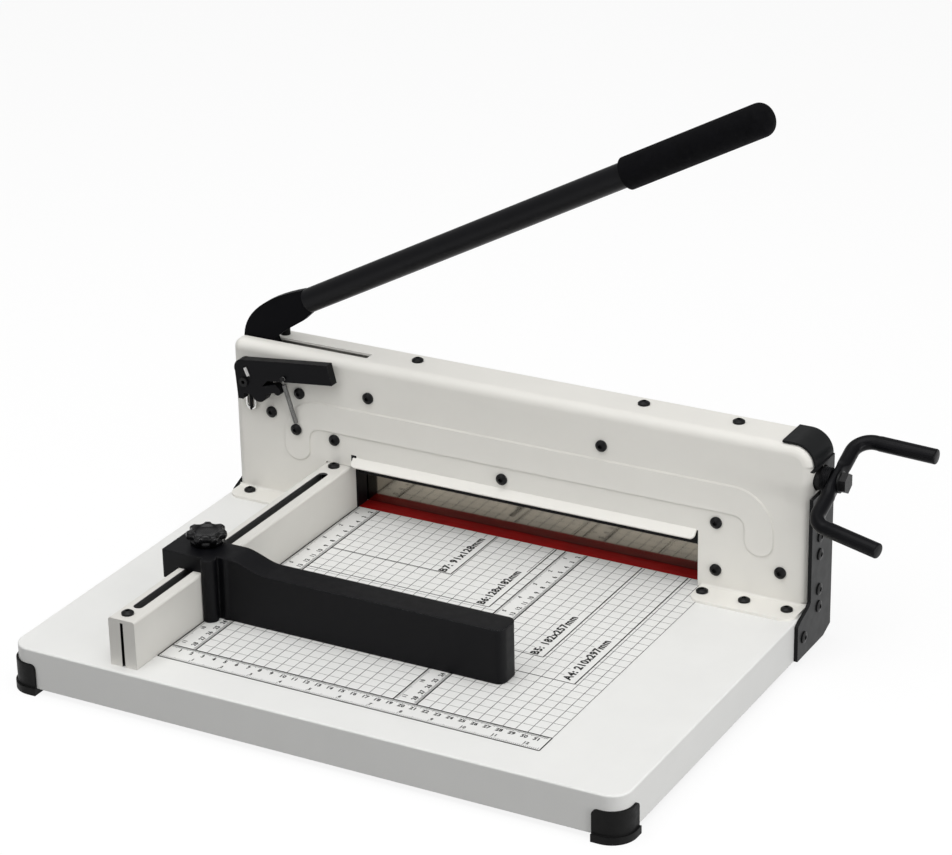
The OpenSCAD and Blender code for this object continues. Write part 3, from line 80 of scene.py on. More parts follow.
class CutterSizes(bpy.types.PropertyGroup):
    grid_pitch: FloatProperty(
        name="Grid pitch", description="Distance between the printed lines that run to the blade",
        default=10 * MM, unit="LENGTH")
    row_pitch: FloatProperty(
        name="Row pitch", description="Distance between the printed lines that run along the blade",
        default=9.81 * MM, unit="LENGTH")
    grid_line: FloatProperty(
        name="Grid line", description="Width of a printed grid line", default=0.47 * MM, unit="LENGTH")
    row_line: FloatProperty(
        name="Row line", description="Width of a printed line along the blade", default=0.34 * MM,
        unit="LENGTH")
    outline: FloatProperty(
        name="Outline", description="Width of a paper outline and of a ruler's border", default=1.05 * MM,
        unit="LENGTH")
    ink_height: FloatProperty(
        name="Ink height", description="Height of the ink above the table", default=0.06 * MM, unit="LENGTH")
    digit: FloatProperty(
        name="Digit", description="Height of a ruler's numbers", default=3.7 * MM, unit="LENGTH")
    label: FloatProperty(
        name="Label", description="Height of the paper size labels", default=6.3 * MM, unit="LENGTH")
    lock_bar: FloatProperty(
        name="Lock bar", description="Diameter of the bar in the lock's loop", default=2.8 * MM,
        unit="LENGTH")
    crank_rod: FloatProperty(
        name="Crank rod", description="Diameter of the crank's rod", default=11.5 * MM, unit="LENGTH")
    crank_bend: FloatProperty(
        name="Crank bend", description="Radius of the crank's bends", default=14 * MM, unit="LENGTH")
    crank_flat: FloatProperty(
        name="Crank flat", description="Thickness of the crank's pressed flat", default=6.44 * MM,
        unit="LENGTH")
    crank_wide: FloatProperty(
        name="Crank width", description="Width of the crank's pressed flat", default=16 * MM, unit="LENGTH")
    hub_ribs: IntProperty(name="Hub ribs", description="Number of ribs on the crank's hub", default=4)
    spring_coils: IntProperty(
        name="Spring coils", description="Number of coils in the lock spring", default=46)
    spring_wire: FloatProperty(
        name="Spring wire", description="Wire diameter of the lock spring", default=0.6 * MM, unit="LENGTH")
    spring_width: FloatProperty(
        name="Spring width", description="Outer diameter of the lock spring", default=3.8 * MM, unit="LENGTH")


def colour(name, words, value):
    return FloatVectorProperty(
        name=name, description=words, default=value, size=3, min=0, max=1, subtype="COLOR")


class CutterColours(bpy.types.PropertyGroup):
    white_paint: colour("White paint", "Powder coat of the base board", (0.785, 0.785, 0.768))
    housing_white: colour("Housing white", "Powder coat of the housing", (0.80, 0.785, 0.74))
    # The rail's white is set darker than the housing's, as painted shade on the rail's faces
    rail_white: colour("Rail white", "Powder coat of the rail", (0.68, 0.667, 0.63))
    black_paint: colour("Black paint", "Paint of the lever, crank and lock", (0.0045, 0.0045, 0.0055))
    plate_black: colour("Plate black", "Satin paint of the side plates", (0.007, 0.0075, 0.008))
    fence_black: colour("Fence black", "Coat of the cast fence", (0.0024, 0.0024, 0.0034))
    dark_sheet: colour("Dark sheet", "Paint of the plate under the board", (0.05, 0.05, 0.052))
    grip_rubber: colour("Grip rubber", "Rubber of the lever's grip", (0.0024, 0.0024, 0.0032))
    foot_rubber: colour("Foot rubber", "Rubber of the feet", (0.005, 0.005, 0.005))
    knob_plastic: colour("Knob plastic", "Moulded plastic of the star knob", (0.0025, 0.0025, 0.003))
    screw_black: colour("Screw black", "Black oxide of the screws", (0.006, 0.006, 0.0065))
    stick_red: colour("Stick red", "Plastic of the cutting stick", (0.32, 0.007, 0.007))
    steel: colour("Steel", "Turned and ground steel", (0.52, 0.52, 0.52))
    plating: colour("Plating", "Bright plating of the lock's loop", (0.72, 0.72, 0.72))
    blade: colour("Blade", "Polished blade", (0.35, 0.32, 0.27))
    spring: colour("Spring", "Drawn wire of the lock spring", (0.27, 0.27, 0.27))
    brass: colour("Brass", "Nut of the drive screw", (0.62, 0.42, 0.16))
    ink: colour("Ink", "Ink of the rulers, outlines and labels", (0.006, 0.006, 0.006))
    grid_ink: colour("Grid ink", "Ink of the grid", (0.015, 0.015, 0.016))


class CutterStudio(bpy.types.PropertyGroup):
    lens: FloatProperty(name="Lens", description="Focal length in millimetres", default=118.632)
    camera_at: FloatVectorProperty(
        name="Camera", description="Place of the camera", default=tuple(spot(1218.237, -2006.307, 1080.141)),
        size=3, subtype="TRANSLATION")
    camera_to: FloatVectorProperty(
        name="View", description="Direction of view", default=(-0.445754, 0.801849, -0.397923), size=3,
        subtype="DIRECTION")
    camera_up: FloatVectorProperty(
        name="Up", description="Upward direction in the picture", default=(-0.175498, 0.357833, 0.917145),
        size=3, subtype="DIRECTION")
    key: FloatProperty(name="Key", description="Power of the overhead lamp in watts", default=37.0)
    side: FloatProperty(name="Side", description="Power of the lamp at the right in watts", default=9.0)
    front: FloatProperty(
        name="Front", description="Power of the lamp at the front left in watts", default=9.0)
    low: FloatProperty(name="Low", description="Power of the low lamp at the right in watts", default=4.6)
    ambient: FloatProperty(name="Ambient", description="Strength of the room's light", default=0.42)


def put(tree, socket, value):
    """Sets a socket to a value, or links another node's output to it."""
    if hasattr(value, "is_output"):
        tree.links.new(value, socket)
    else:
        socket.default_value = value


def add(tree, kind, **values):
    """New node with its sockets set by name."""
    node = tree.nodes.new(kind)
    for key, value in values.items():
        put(tree, node.inputs[key.replace("_", " ")], value)
    return node


def reckon(tree, operation, a, b, kind="ShaderNodeMath"):
    """Node that reckons with two values."""
    node = tree.nodes.new(kind)
    node.operation = operation
    put(tree, node.inputs[0], a)
    put(tree, node.inputs[1], b)
    return node


def mixed(tree, amount, a, b):
    """Colour that goes from a to b with the amount, where a and b are colours or sockets."""
    node = tree.nodes.new("ShaderNodeMix")
    node.data_type = "RGBA"
    factor, first, second = node.inputs[0], node.inputs[6], node.inputs[7]
    put(tree, factor, amount)
    for socket, value in ((first, a), (second, b)):
        put(tree, socket, value if hasattr(value, "is_output") else (*value, 1))
    return node.outputs[2]


class Finish:
    """Material whose pattern follows the object, with a few short calls for its nodes."""

    bevel_samples = 4

    def __init__(self, name, base, roughness, metallic=0.0, specular=0.5, edge=0.6 * MM):
        self.material = bpy.data.materials.new(name)
        self.material.use_nodes = True
        self.material.diffuse_color = (*base, 1)
        self.tree = self.material.node_tree
        self.shader = self.tree.nodes["Principled BSDF"]
        self.base = Vector(base)
        self.set("Base Color", (*base, 1))
        self.set("Roughness", roughness)
        self.set("Metallic", metallic)
        self.set("Specular IOR Level", specular)
        self.place = add(self.tree, "ShaderNodeTexCoord").outputs["Object"]
        rounded = add(self.tree, "ShaderNodeBevel", Radius=edge)
        rounded.samples = self.bevel_samples
        self.normal = rounded.outputs["Normal"]
        self.set("Normal", self.normal)

    def set(self, key, value):
        put(self.tree, self.shader.inputs[key], value)

    def grain(self, size, detail=3.0, stretch=(1, 1, 1)):
        """Noise whose features are about size metres across, drawn out by stretch."""
        scale = tuple(1 / s for s in stretch)
        place = add(self.tree, "ShaderNodeMapping", Vector=self.place, Scale=scale).outputs[0]
        noise = add(
            self.tree, "ShaderNodeTexNoise", Vector=place, Scale=1 / size, Detail=detail, Roughness=0.55)
        return noise.outputs[0]

    def cells(self, size):
        return add(self.tree, "ShaderNodeTexVoronoi", Vector=self.place, Scale=1 / size).outputs["Distance"]

    def span(self, value, low, high, lowest=0.3, highest=0.7):
        """Value from between lowest and highest, spread to between low and high."""
        limits = {"From_Min": lowest, "From_Max": highest, "To_Min": low, "To_Max": high}
        return add(self.tree, "ShaderNodeMapRange", Value=value, **limits).outputs[0]

    def edges(self, low, high):
        """0 on flats to 1 on worn edges, from how far the rounded normal leans."""
        flat = add(self.tree, "ShaderNodeNewGeometry").outputs["Normal"]
        lean = reckon(self.tree, "DOT_PRODUCT", self.normal, flat, "ShaderNodeVectorMath")
        return self.span(lean.outputs["Value"], 0.0, 1.0, high, low)

    def inside(self, low, high):
        """1 between two corners of a box, 0 outside it."""
        axes = add(self.tree, "ShaderNodeSeparateXYZ", Vector=self.place).outputs
        total = 1.0
        for socket, least, most in zip(axes, low, high):
            for operation, limit in (("GREATER_THAN", least), ("LESS_THAN", most)):
                test = reckon(self.tree, operation, socket, limit).outputs[0]
                total = reckon(self.tree, "MULTIPLY", total, test).outputs[0]
        return total

    def bump(self, value, height):
        node = add(
            self.tree, "ShaderNodeBump", Strength=1.0, Distance=height, Height=value, Normal=self.normal)
        self.normal = node.outputs[0]
        self.set("Normal", self.normal)

    def mottle(self, spread, size, tint=(1, 1, 1)):
        """Colour that drifts by a share of itself over patches of a size."""
        low = self.base * (1 - spread)
        high = Vector([c * t for c, t in zip(self.base * (1 + spread), tint)])
        self.recolour(self.span(self.grain(size, 4.0), 0, 1), low, high)

    def recolour(self, amount, a, b):
        self.tone = mixed(self.tree, amount, a, b)
        self.set("Base Color", self.tone)


def painted(name, base, roughness, peel, specular, wear=None, edge=0.6 * MM, drift=0.06, dark=()):
    """Powder coat: fine orange peel, uneven sheen, rubbed edges, painted shade and bare edges in boxes."""
    made = Finish(name, base, roughness, specular=specular, edge=edge)
    made.mottle(drift, 35 * MM)
    made.set("Roughness", made.span(made.grain(9 * MM, 5.0), roughness - 0.04, roughness + 0.05))
    if wear:
        patches = made.span(made.grain(3 * MM, 6.0), 0.0, 1.0, 0.42, 0.62)
        rubbed = reckon(made.tree, "MULTIPLY", made.edges(0.80, 0.98), patches)
        made.recolour(rubbed.outputs[0], made.tone, wear)
    # Boxes of painted shade, and the rail's sheared slot edge, each at its grey level
    for low, high, level in dark:
        made.recolour(made.inside(low, high), made.tone, (level, level, level))
    made.bump(made.grain(0.9 * MM, 2.0), peel)
    return made.material


def moulded(name, base, specular, edge, drift, sheen, relief):
    """Plastic or oxide: drift (share, size), sheen (lowest, highest, grain), relief (height, grain)."""
    lowest, highest, sheen_grain = sheen
    height, relief_grain = relief
    made = Finish(name, base, lowest, specular=specular, edge=edge)
    made.mottle(*drift)
    made.set("Roughness", made.span(made.grain(*sheen_grain), lowest, highest))
    made.bump(made.grain(*relief_grain), height)
    return made.material


def rubbered(name, base, roughness, pore, depth, specular):
    """Rubber: fine pores, dusty sheen."""
    made = Finish(name, base, roughness, specular=specular, edge=1.0 * MM)
    made.mottle(0.25, 12 * MM)
    made.set("Roughness", made.span(made.grain(4 * MM, 5.0), roughness - 0.08, roughness + 0.1))
    made.bump(made.cells(pore), depth)
    made.bump(made.grain(pore * 0.6, 3.0), depth * 0.6)
    return made.material


def brushed(name, base, roughness, stretch, depth=0.012 * MM):
    """Worked metal: fine scratches drawn out along stretch, slight tarnish."""
    made = Finish(name, base, roughness, metallic=1.0, edge=0.4 * MM)
    made.mottle(0.08, 18 * MM, (1.0, 0.985, 0.96))
    scratches = made.grain(0.35 * MM, 4.0, stretch)
    made.set("Roughness", made.span(scratches, roughness * 0.75, roughness * 1.35))
    made.bump(scratches, depth)
    return made.material


def inked(name, base):
    """Screen-printed ink: slightly broken coverage."""
    made = Finish(name, base, 0.55, specular=0.3, edge=0.05 * MM)
    made.mottle(0.5, 2.5 * MM)
    made.set("Roughness", made.span(made.grain(1.2 * MM), 0.48, 0.62))
    return made.material


# Depth from a sheet's outer face to where its inside starts
SHEET = 1.7 * MM
# Greys of painted shade inside, of a sheared edge, and of painted shade on a wall seen through a slot
UNLIT = 0.004
SHEARED = 0.12
SHADED_WALL = 0.25


def dark_places():
    """Boxes with a grey level: painted shade on the table, housing and rail, and the rail's slot edge."""
    low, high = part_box("guide_rail")
    # Painted shade on the table under the rail
    under_rail = (low + Vector((SHEET, SHEET, -MM)), high - Vector((SHEET, 0, 0)), UNLIT)
    # Painted shadow in the relief cut at the left end of the lip
    relief = (spot(-0.4, -23.8, 44.4), spot(4.6, -22.0, 49.8), UNLIT)
    # Painted shade inside the rail, near black over its white coat
    in_rail = (low + Vector((SHEET, 0.25 * MM, 0)), high - Vector((SHEET, 0, SHEET)), UNLIT)
    # Sheared edge of the rail's slot, and painted shade in mid grey on the left wall seen through the slot
    slot_edge = (low + Vector((5, 8, 0)) * MM, high - Vector((5, 8, 0.06)) * MM, SHEARED)
    left_wall = (low + Vector((SHEET, 8 * MM, 0)), high - Vector((20 * MM, 8 * MM, SHEET)), SHADED_WALL)
    return (under_rail,), (relief,), (slot_edge, in_rail, left_wall)


def paints(tint):
    in_table, in_housing, in_rail = dark_places()
    coat = {"roughness": 0.42, "peel": 0.008 * MM, "specular": 0.30, "drift": 0.012}
    return {
        "white_paint": painted("white_paint", tint.white_paint, dark=in_table, **coat),
        "housing_white": painted(
            "housing_white", tint.housing_white, edge=0.35 * MM, dark=in_housing, **coat),
        # The rail takes the darker rail white, as painted shade
        "rail_white": painted("rail_white", tint.rail_white, dark=in_rail, **coat),
        "black_paint": painted(
            "black_paint", tint.black_paint, roughness=0.36, peel=0.025 * MM, specular=0.15,
            wear=(0.022, 0.022, 0.024)),
        "cast_black": painted(
            "cast_black", tint.fence_black, roughness=0.45, peel=0.025 * MM, specular=0.05,
            wear=(0.015, 0.015, 0.016), edge=1.2 * MM),
        "plate_black": painted(
            "plate_black", tint.plate_black, roughness=0.34, peel=0.02 * MM, specular=0.13,
            wear=(0.05, 0.05, 0.052)),
        "fence_black": painted(
            "fence_black", tint.fence_black, roughness=0.43, peel=0.03 * MM, specular=0.155,
            wear=(0.02, 0.02, 0.022), edge=2.2 * MM),
        "crank_black": painted(
            "crank_black", tint.black_paint, roughness=0.32, peel=0.015 * MM, specular=0.10,
            wear=(0.03, 0.03, 0.032)),
        "lock_plastic": painted(
            "lock_black", tint.black_paint, roughness=0.40, peel=0.02 * MM, specular=0.09,
            wear=(0.03, 0.03, 0.032), edge=1.0 * MM),
        "dark_sheet": painted("dark_sheet", tint.dark_sheet, roughness=0.5, peel=0.03 * MM, specular=0.3),
    }


def plastics(tint):
    along_blade = (8, 1, 1)
    sawn = (12, 1, 1)
    return {
        "screw_black": moulded(
            "screw_black", tint.screw_black, specular=0.2, edge=0.3 * MM, drift=(0.3, 3 * MM),
            sheen=(0.28, 0.46, (1.5 * MM, 4.0)), relief=(0.015 * MM, (0.4 * MM,))),
        "knob_plastic": moulded(
            "knob_plastic", tint.knob_plastic, specular=0.3, edge=0.3 * MM, drift=(0.2, 8 * MM),
            sheen=(0.2, 0.32, (2 * MM, 4.0)), relief=(0.012 * MM, (0.5 * MM, 2.0))),
        "stick_red": moulded(
            "stick_red", tint.stick_red, specular=0.12, edge=0.4 * MM, drift=(0.15, 20 * MM),
            sheen=(0.44, 0.6, (3 * MM, 4.0, along_blade)), relief=(0.03 * MM, (0.6 * MM, 3.0, sawn))),
        "grip_rubber": rubbered(
            "grip_rubber", tint.grip_rubber, roughness=0.72, pore=0.8 * MM, depth=0.08 * MM, specular=0.07),
        "foot_rubber": rubbered(
            "foot_rubber", tint.foot_rubber, roughness=0.50, pore=0.6 * MM, depth=0.03 * MM, specular=0.13),
    }


def metals(tint):
    turned = (1, 6, 1)
    return {
        "machined_steel": brushed("machined_steel", tint.steel, 0.30, turned),
        "bright_steel": brushed("bright_steel", tint.plating, 0.18, (1, 1, 5), depth=0.004 * MM),
        "blade_mirror": brushed("blade_mirror", tint.blade, 0.10, (1, 1, 30), depth=0.002 * MM),
        "spring_steel": brushed("spring_steel", tint.spring, 0.30, (1, 1, 1), depth=0.003 * MM),
        "nut_brass": brushed("nut_brass", tint.brass, 0.28, turned),
    }


def inks(tint):
    return {"ink": inked("print_ink", tint.ink), "grid_ink": inked("print_grid_ink", tint.grid_ink)}


FINISHES = {}


def finish(name):
    if not FINISHES:
        for family in (paints, plastics, metals, inks):
            FINISHES.update(family(bpy.context.scene.cutter_colours))
    return FINISHES[name]


def piece(name, mesh, body, look, smooth=True):
    """New object from a mesh, riding on a body with a finish."""
    made = bpy.data.objects.new(name, mesh)
    bpy.context.scene.collection.objects.link(made)
    mesh.materials.append(finish(look))
    mesh.polygons.foreach_set("use_smooth", [smooth] * len(mesh.polygons))
    if body:
        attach(made, body)
    return made


def mesh_from(bm, name):
    bmesh.ops.recalc_face_normals(bm, faces=bm.faces)
    mesh = bpy.data.meshes.new(name)
    bm.to_mesh(mesh)
    bm.free()
    return mesh


def skin(bm, rings, closed=False):
    """Faces between rings of equally many points: a closed loop of rings, or a run with a cap at each end."""
    following = rings[1:] + rings[:1] if closed else rings[1:]
    for low, high in zip(rings, following):
        count = len(low)
        for k in range(count):
            bm.faces.new((low[k], low[(k + 1) % count], high[(k + 1) % count], high[k]))
    if not closed:
        bm.faces.new(rings[0])
        bm.faces.new(rings[-1])


def tube(bm, path, radii, sides):
    """Closed round rod along a path of points, with rings carried along it without twist."""
    last = len(path) - 1
    turns = [2 * math.pi * k / sides for k in range(sides)]
    out = (path[1] - path[0]).orthogonal().normalized()
    rings = []
    for i, (centre, radius) in enumerate(zip(path, radii)):
        ahead = (path[min(i + 1, last)] - path[max(i - 1, 0)]).normalized()
        out = (out - ahead * out.dot(ahead)).normalized()
        other = ahead.cross(out)
        rings.append([
            bm.verts.new(centre + (out * math.cos(turn) + other * math.sin(turn)) * radius)
            for turn in turns])
    skin(bm, rings)


def middle(box):
    """Centre of a box given by its lowest and highest corners."""
    low, high = box
    return (low + high) / 2


# Solids whose finish is a variant of their record slot
VARIANTS = {
    "front_cover": "housing_white",
    "rear_plate": "housing_white",
    "guide_rail": "rail_white",
    "side_plate_right": "plate_black",
    "side_plate_left": "plate_black",
    "lever_elbow": "cast_black",
    "lock_pin": "machined_steel",
}


class CUTTER_OT_finishes(bpy.types.Operator):
    """Gives each solid the finish of its record slot"""

    bl_idname = "cutter.finishes"
    bl_label = "Finishes"

    def execute(self, context):
        for row in frame["record"]["subparts"]:
            solid = frame["nodes"][row["node"]]
            look = VARIANTS.get(row["node"], row["material_slot"])
            for slot in solid.material_slots:
                slot.material = finish(look)
        return {"FINISHED"}


# The print, in millimetres from its zero
STICK_Y = -15.2
LEFT_RULER = (-0.4, 20.0)
MIDDLE_RULER = (190.2, 209.6)
FOOT_RULER = (-288.6, -308.6)
RIGHT_END = 319.6
INCH = 25.4
# Grid: numbers of the lines that run to the blade, room beside the middle ruler, first row and count of rows
GRID_LINES = range(3, 32)
RULER_CLEAR = 1
FIRST_ROW = -23.4
GRID_ROWS = 27
# Second layer of ink, in ink heights, and a paper outline's front line as a share of its side line
OVERPRINT = 1.5
FRONT_OUTLINE = 0.8
# Millimetres that the rulers count along the blade and to the front, and sixteenths of an inch
MM_ALONG = range(1, 318)
MM_FRONT = range(16, 288)
SIXTEENTHS = range(1, 201)
TICK_WIDTH = 0.36
# Lengths of a ruler's ticks at a whole unit, at its half and between them
TICKS = (4.6, 3.6, 2.7)
# Each paper outline: label, reach along the blade, reach to the front, and its label's ends to the front
PAPERS = (
    ("B7: 91x128mm", 128.4, -91.0, -90.0, -23.8),
    ("B6:128x182mm", 182.2, -128.0, -126.2, -63.8),
    ("B5: 182x257mm", 257.3, -182.6, -181.2, -113.8),
    ("A4: 210x297mm", 297.2, -210.0, -206.2, -137.5),
)
# A label's middle inside its outline, and the room without grid lines round it: left, right, front and back
LABEL_INSET = 8.6
LABEL_ROOM = (-13.4, -0.8, -1.0, 2.4)
# Lettering: a capital's share of the font size, the gap between letters, strokes and width
CAPITAL = 0.70
LETTER_GAP = 1.12
LABEL_BOLD = 0.042
NUMBER_BOLD = 0.04
NUMBER_WIDTH = 0.95
INCH_NUMBER = 0.85
# A number's distance from its ruler's edge, and from its tick
CM_FOOT = (6.2, 0.4)
INCH_FOOT = (5.8, 1.4)
CM_SIDE = (5.8, 0.4)
INCH_SIDE = (5.6, 1.2)


class PrintSheet:
    """Flat ink pieces in millimetres from the print's zero."""

    shortest = 0.01 * MM

    def __init__(self, lift):
        self.bm = bmesh.new()
        self.lift = lift / MM

    def patch(self, x0, x1, y0, y1):
        corners = ((x0, y0), (x1, y0), (x1, y1), (x0, y1))
        self.bm.faces.new([self.bm.verts.new(spot(x, y, self.lift)) for x, y in corners])

    def along_x(self, y, x0, x1, width):
        self.patch(x0, x1, y - width / 2, y + width / 2)

    def along_y(self, x, y0, y1, width):
        self.patch(x - width / 2, x + width / 2, y0, y1)

    def words(self, text, x, y, height, turned, bold, length=None):
        """Text centred on a point, read from the front, or from the right when turned."""
        curve = bpy.data.curves.new("words", "FONT")
        curve.body = text
        curve.size = 1.0
        curve.align_x = "CENTER"
        curve.align_y = "CENTER"
        curve.offset = bold
        curve.space_character = LETTER_GAP
        curve.resolution_u = 3
        maker = bpy.data.objects.new("words", curve)
        bpy.context.scene.collection.objects.link(maker)
        bpy.context.view_layer.update()
        flat = bpy.data.meshes.new_from_object(maker.evaluated_get(bpy.context.evaluated_depsgraph_get()))
        tall = height / CAPITAL
        wide = tall * NUMBER_WIDTH
        if length:
            reach = [v.co.x for v in flat.vertices]
            wide = length / (max(reach) - min(reach))
        turn = Matrix.Rotation(math.pi / 2 if turned else 0.0, 4, "Z")
        size = Matrix.Diagonal((wide * MM, tall * MM, 1, 1))
        flat.transform(Matrix.Translation(spot(x, y, self.lift)) @ turn @ size)
        self.bm.from_mesh(flat)
        bpy.data.objects.remove(maker)
        bpy.data.curves.remove(curve)
        bpy.data.meshes.remove(flat)

    def done(self, name, look):
        """Piece with its very short edges dissolved and every face turned up."""
        bmesh.ops.dissolve_degenerate(self.bm, dist=self.shortest, edges=self.bm.edges)
        self.bm.normal_update()
        bmesh.ops.reverse_faces(self.bm, faces=[face for face in self.bm.faces if face.normal.z < 0])
        mesh = bpy.data.meshes.new(name)
        self.bm.to_mesh(mesh)
        self.bm.free()
        piece(name, mesh, "frame", look, smooth=False)


def outside(start, end, holes):
    """Parts of a run that lie outside the holes, each a pair of numbers."""
    shortest = 0.2
    runs = [(start, end)]
    for low, high in holes:
        parts = [part for a, b in runs for part in ((a, min(b, low)), (max(a, high), b))]
        runs = [(a, b) for a, b in parts if b - a > shortest]
    return runs


class CUTTER_OT_table_print(bpy.types.Operator):
    """Prints the grid, rulers, paper outlines and their numbers on the table"""

    bl_idname = "cutter.table_print"
    bl_label = "Table print"

    def execute(self, context):
        sizes = context.scene.cutter_sizes
        self.grid(sizes)
        self.rulers(sizes)
        self.lettering(sizes)
        return {"FINISHED"}

    def grid(self, sizes):
        pitch, row = sizes.grid_pitch / MM, sizes.row_pitch / MM
        left, right, front, back = LABEL_ROOM
        rooms = [
            (reach + left, reach + right, low + front, high + back) for _, reach, low, _, high in PAPERS]
        sheet = PrintSheet(sizes.ink_height)
        for k in GRID_LINES:
            x = k * pitch
            if MIDDLE_RULER[0] - RULER_CLEAR < x < MIDDLE_RULER[1] + RULER_CLEAR:
                continue
            holes = [(low, high) for x0, x1, low, high in rooms if x0 < x < x1]
            for y0, y1 in outside(FOOT_RULER[0], STICK_Y, holes):
                sheet.along_y(x, y0, y1, sizes.grid_line / MM)
        for k in range(GRID_ROWS):
            y = FIRST_ROW - k * row
            holes = [(x0, x1) for x0, x1, low, high in rooms if low < y < high] + [MIDDLE_RULER]
            for x0, x1 in outside(LEFT_RULER[1], RIGHT_END, holes):
                sheet.along_x(y, x0, x1, sizes.row_line / MM)
        sheet.done("table_grid", "grid_ink")

    def rulers(self, sizes):
        thick = sizes.outline / MM
        sheet = PrintSheet(sizes.ink_height * OVERPRINT)
        for x in (*LEFT_RULER, *MIDDLE_RULER):
            sheet.along_y(x, FOOT_RULER[1] if x == LEFT_RULER[0] else FOOT_RULER[0], STICK_Y, thick)
        for y in FOOT_RULER:
            sheet.along_x(y, LEFT_RULER[0], RIGHT_END, thick)
        sheet.along_y(RIGHT_END, FOOT_RULER[0], STICK_Y, sizes.grid_line / MM)
        sheet.along_y(RIGHT_END, FOOT_RULER[1], FOOT_RULER[0], thick)
        for _, reach, low, _, _ in PAPERS:
            sheet.along_y(reach, low, STICK_Y, thick)
            for x0, x1 in outside(LEFT_RULER[1], reach, [MIDDLE_RULER]):
                sheet.along_x(low, x0, x1, thick * FRONT_OUTLINE)
        self.ticks(sheet)
        sheet.done("table_rulers", "ink")

    def ticks(self, sheet):
        """Millimetres on one side of each ruler, sixteenths of an inch on the other."""
        for mm in MM_ALONG:
            sheet.along_y(mm, FOOT_RULER[0] - self.reach(mm, 10), FOOT_RULER[0], TICK_WIDTH)
        for mm in MM_FRONT:
            for edge in (LEFT_RULER[1], MIDDLE_RULER[1]):
                sheet.along_x(-mm, edge - self.reach(mm, 10), edge, TICK_WIDTH)
        for step in SIXTEENTHS:
            place = step * INCH / 16
            long = self.reach(step, 16)
            sheet.along_y(place, FOOT_RULER[1], FOOT_RULER[1] + long, TICK_WIDTH)
            if MM_FRONT[0] < place < MM_FRONT[-1]:
                for edge in (LEFT_RULER[0], MIDDLE_RULER[0]):
                    sheet.along_x(-place, edge, edge + long, TICK_WIDTH)

    def reach(self, step, whole):
        """Length of a tick: longest at each whole unit, middling at its half."""
        at_whole, at_half, between = TICKS
        return at_whole if step % whole == 0 else at_half if step % (whole // 2) == 0 else between

    def lettering(self, sizes):
        sheet = PrintSheet(sizes.ink_height * OVERPRINT)
        tall = sizes.digit / MM
        away, past = CM_FOOT
        for cm in range(1, 32):
            self.number(sheet, cm, cm * 10 + past, FOOT_RULER[0] - away, tall, False)
        away, past = INCH_FOOT
        for inch in range(1, 13):
            self.number(sheet, inch, inch * INCH + past, FOOT_RULER[1] + away, tall * INCH_NUMBER, False)
        away, past = CM_SIDE
        for cm in range(2, 29):
            for edge in (LEFT_RULER[1], MIDDLE_RULER[1]):
                self.number(sheet, cm, edge - away, -cm * 10 - past, tall, True)
        away, past = INCH_SIDE
        for inch in range(1, 12):
            for edge in (LEFT_RULER[0], MIDDLE_RULER[0]):
                self.number(sheet, inch, edge + away, -inch * INCH - past, tall * INCH_NUMBER, True)
        for text, reach, _, low, high in PAPERS:
            sheet.words(
                text, reach - LABEL_INSET, (low + high) / 2, sizes.label / MM, True, LABEL_BOLD, high - low)
        sheet.done("table_numbers", "ink")

    def number(self, sheet, value, x, y, height, turned):
        sheet.words(str(value), x, y, height, turned, NUMBER_BOLD)


class CUTTER_OT_lock_spring(bpy.types.Operator):
    """Winds the lock's extension spring with an eye round the pin and one round the screw"""

    bl_idname = "cutter.lock_spring"
    bl_label = "Lock spring"

    # Necks that the eyes lie round, and where the wire crosses them
    pin_radius, pin_set = 1.3 * MM, 1.6 * MM
    screw_radius, screw_set = 2.0 * MM, 1.2 * MM
    # Wire diameters from a neck to the middle of the wire round it, and the angles of an eye's points
    eye_room = 0.75
    pin_eye = range(-40, 270, 18)
    screw_eye = range(72, -230, -18)
    # Straight wire between an eye and the coils, and points in a coil
    lead = 3.2 * MM
    coil_points = 16

    def execute(self, context):
        sizes = context.scene.cutter_sizes
        wire = sizes.spring_wire
        pin, screw = middle(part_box("lock_hook")), middle(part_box("lock_anchor"))
        pin.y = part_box("lock_hook")[0].y + self.pin_set
        screw.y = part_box("lock_block")[1].y - self.screw_set
        top_eye, low_eye = (r + wire * self.eye_room for r in (self.pin_radius, self.screw_radius))
        start = pin - Vector((0, 0, top_eye))
        end = screw + Vector((0, 0, low_eye))
        axis = (end - start).normalized()
        path = [pin + self.circle(top_eye, a) for a in self.pin_eye]
        path += [start, start + axis * self.lead * 0.5]
        path += self.coils(sizes, start, end, axis)
        path += [end - axis * self.lead * 0.5, end]
        path += [screw + self.circle(low_eye, a) for a in self.screw_eye]
        bm = bmesh.new()
        tube(bm, path, [wire / 2] * len(path), sides=8)
        mesh = mesh_from(bm, "lock_spring_coil")
        coil = piece("lock_spring_coil", mesh, None, "spring_steel")
        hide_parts("lock_spring")
        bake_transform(coil)
        return {"FINISHED"}

    def coils(self, sizes, start, end, axis):
        """Points of the helix, which grows from the axis over half a coil at each end."""
        out = axis.orthogonal().normalized()
        other = axis.cross(out)
        radius = (sizes.spring_width - sizes.spring_wire) / 2
        run = (end - start).length - 2 * self.lead
        count = sizes.spring_coils * self.coil_points
        points = []
        for i in range(count + 1):
            grow = min(1.0, 2 * i / self.coil_points, 2 * (count - i) / self.coil_points)
            turn = 2 * math.pi * i / self.coil_points
            along = axis * (self.lead + run * i / count)
            points.append(start + along + (out * math.cos(turn) + other * math.sin(turn)) * radius * grow)
        return points

    def circle(self, radius, degrees):
        turn = math.radians(degrees)
        return Vector((math.cos(turn), 0, math.sin(turn))) * radius


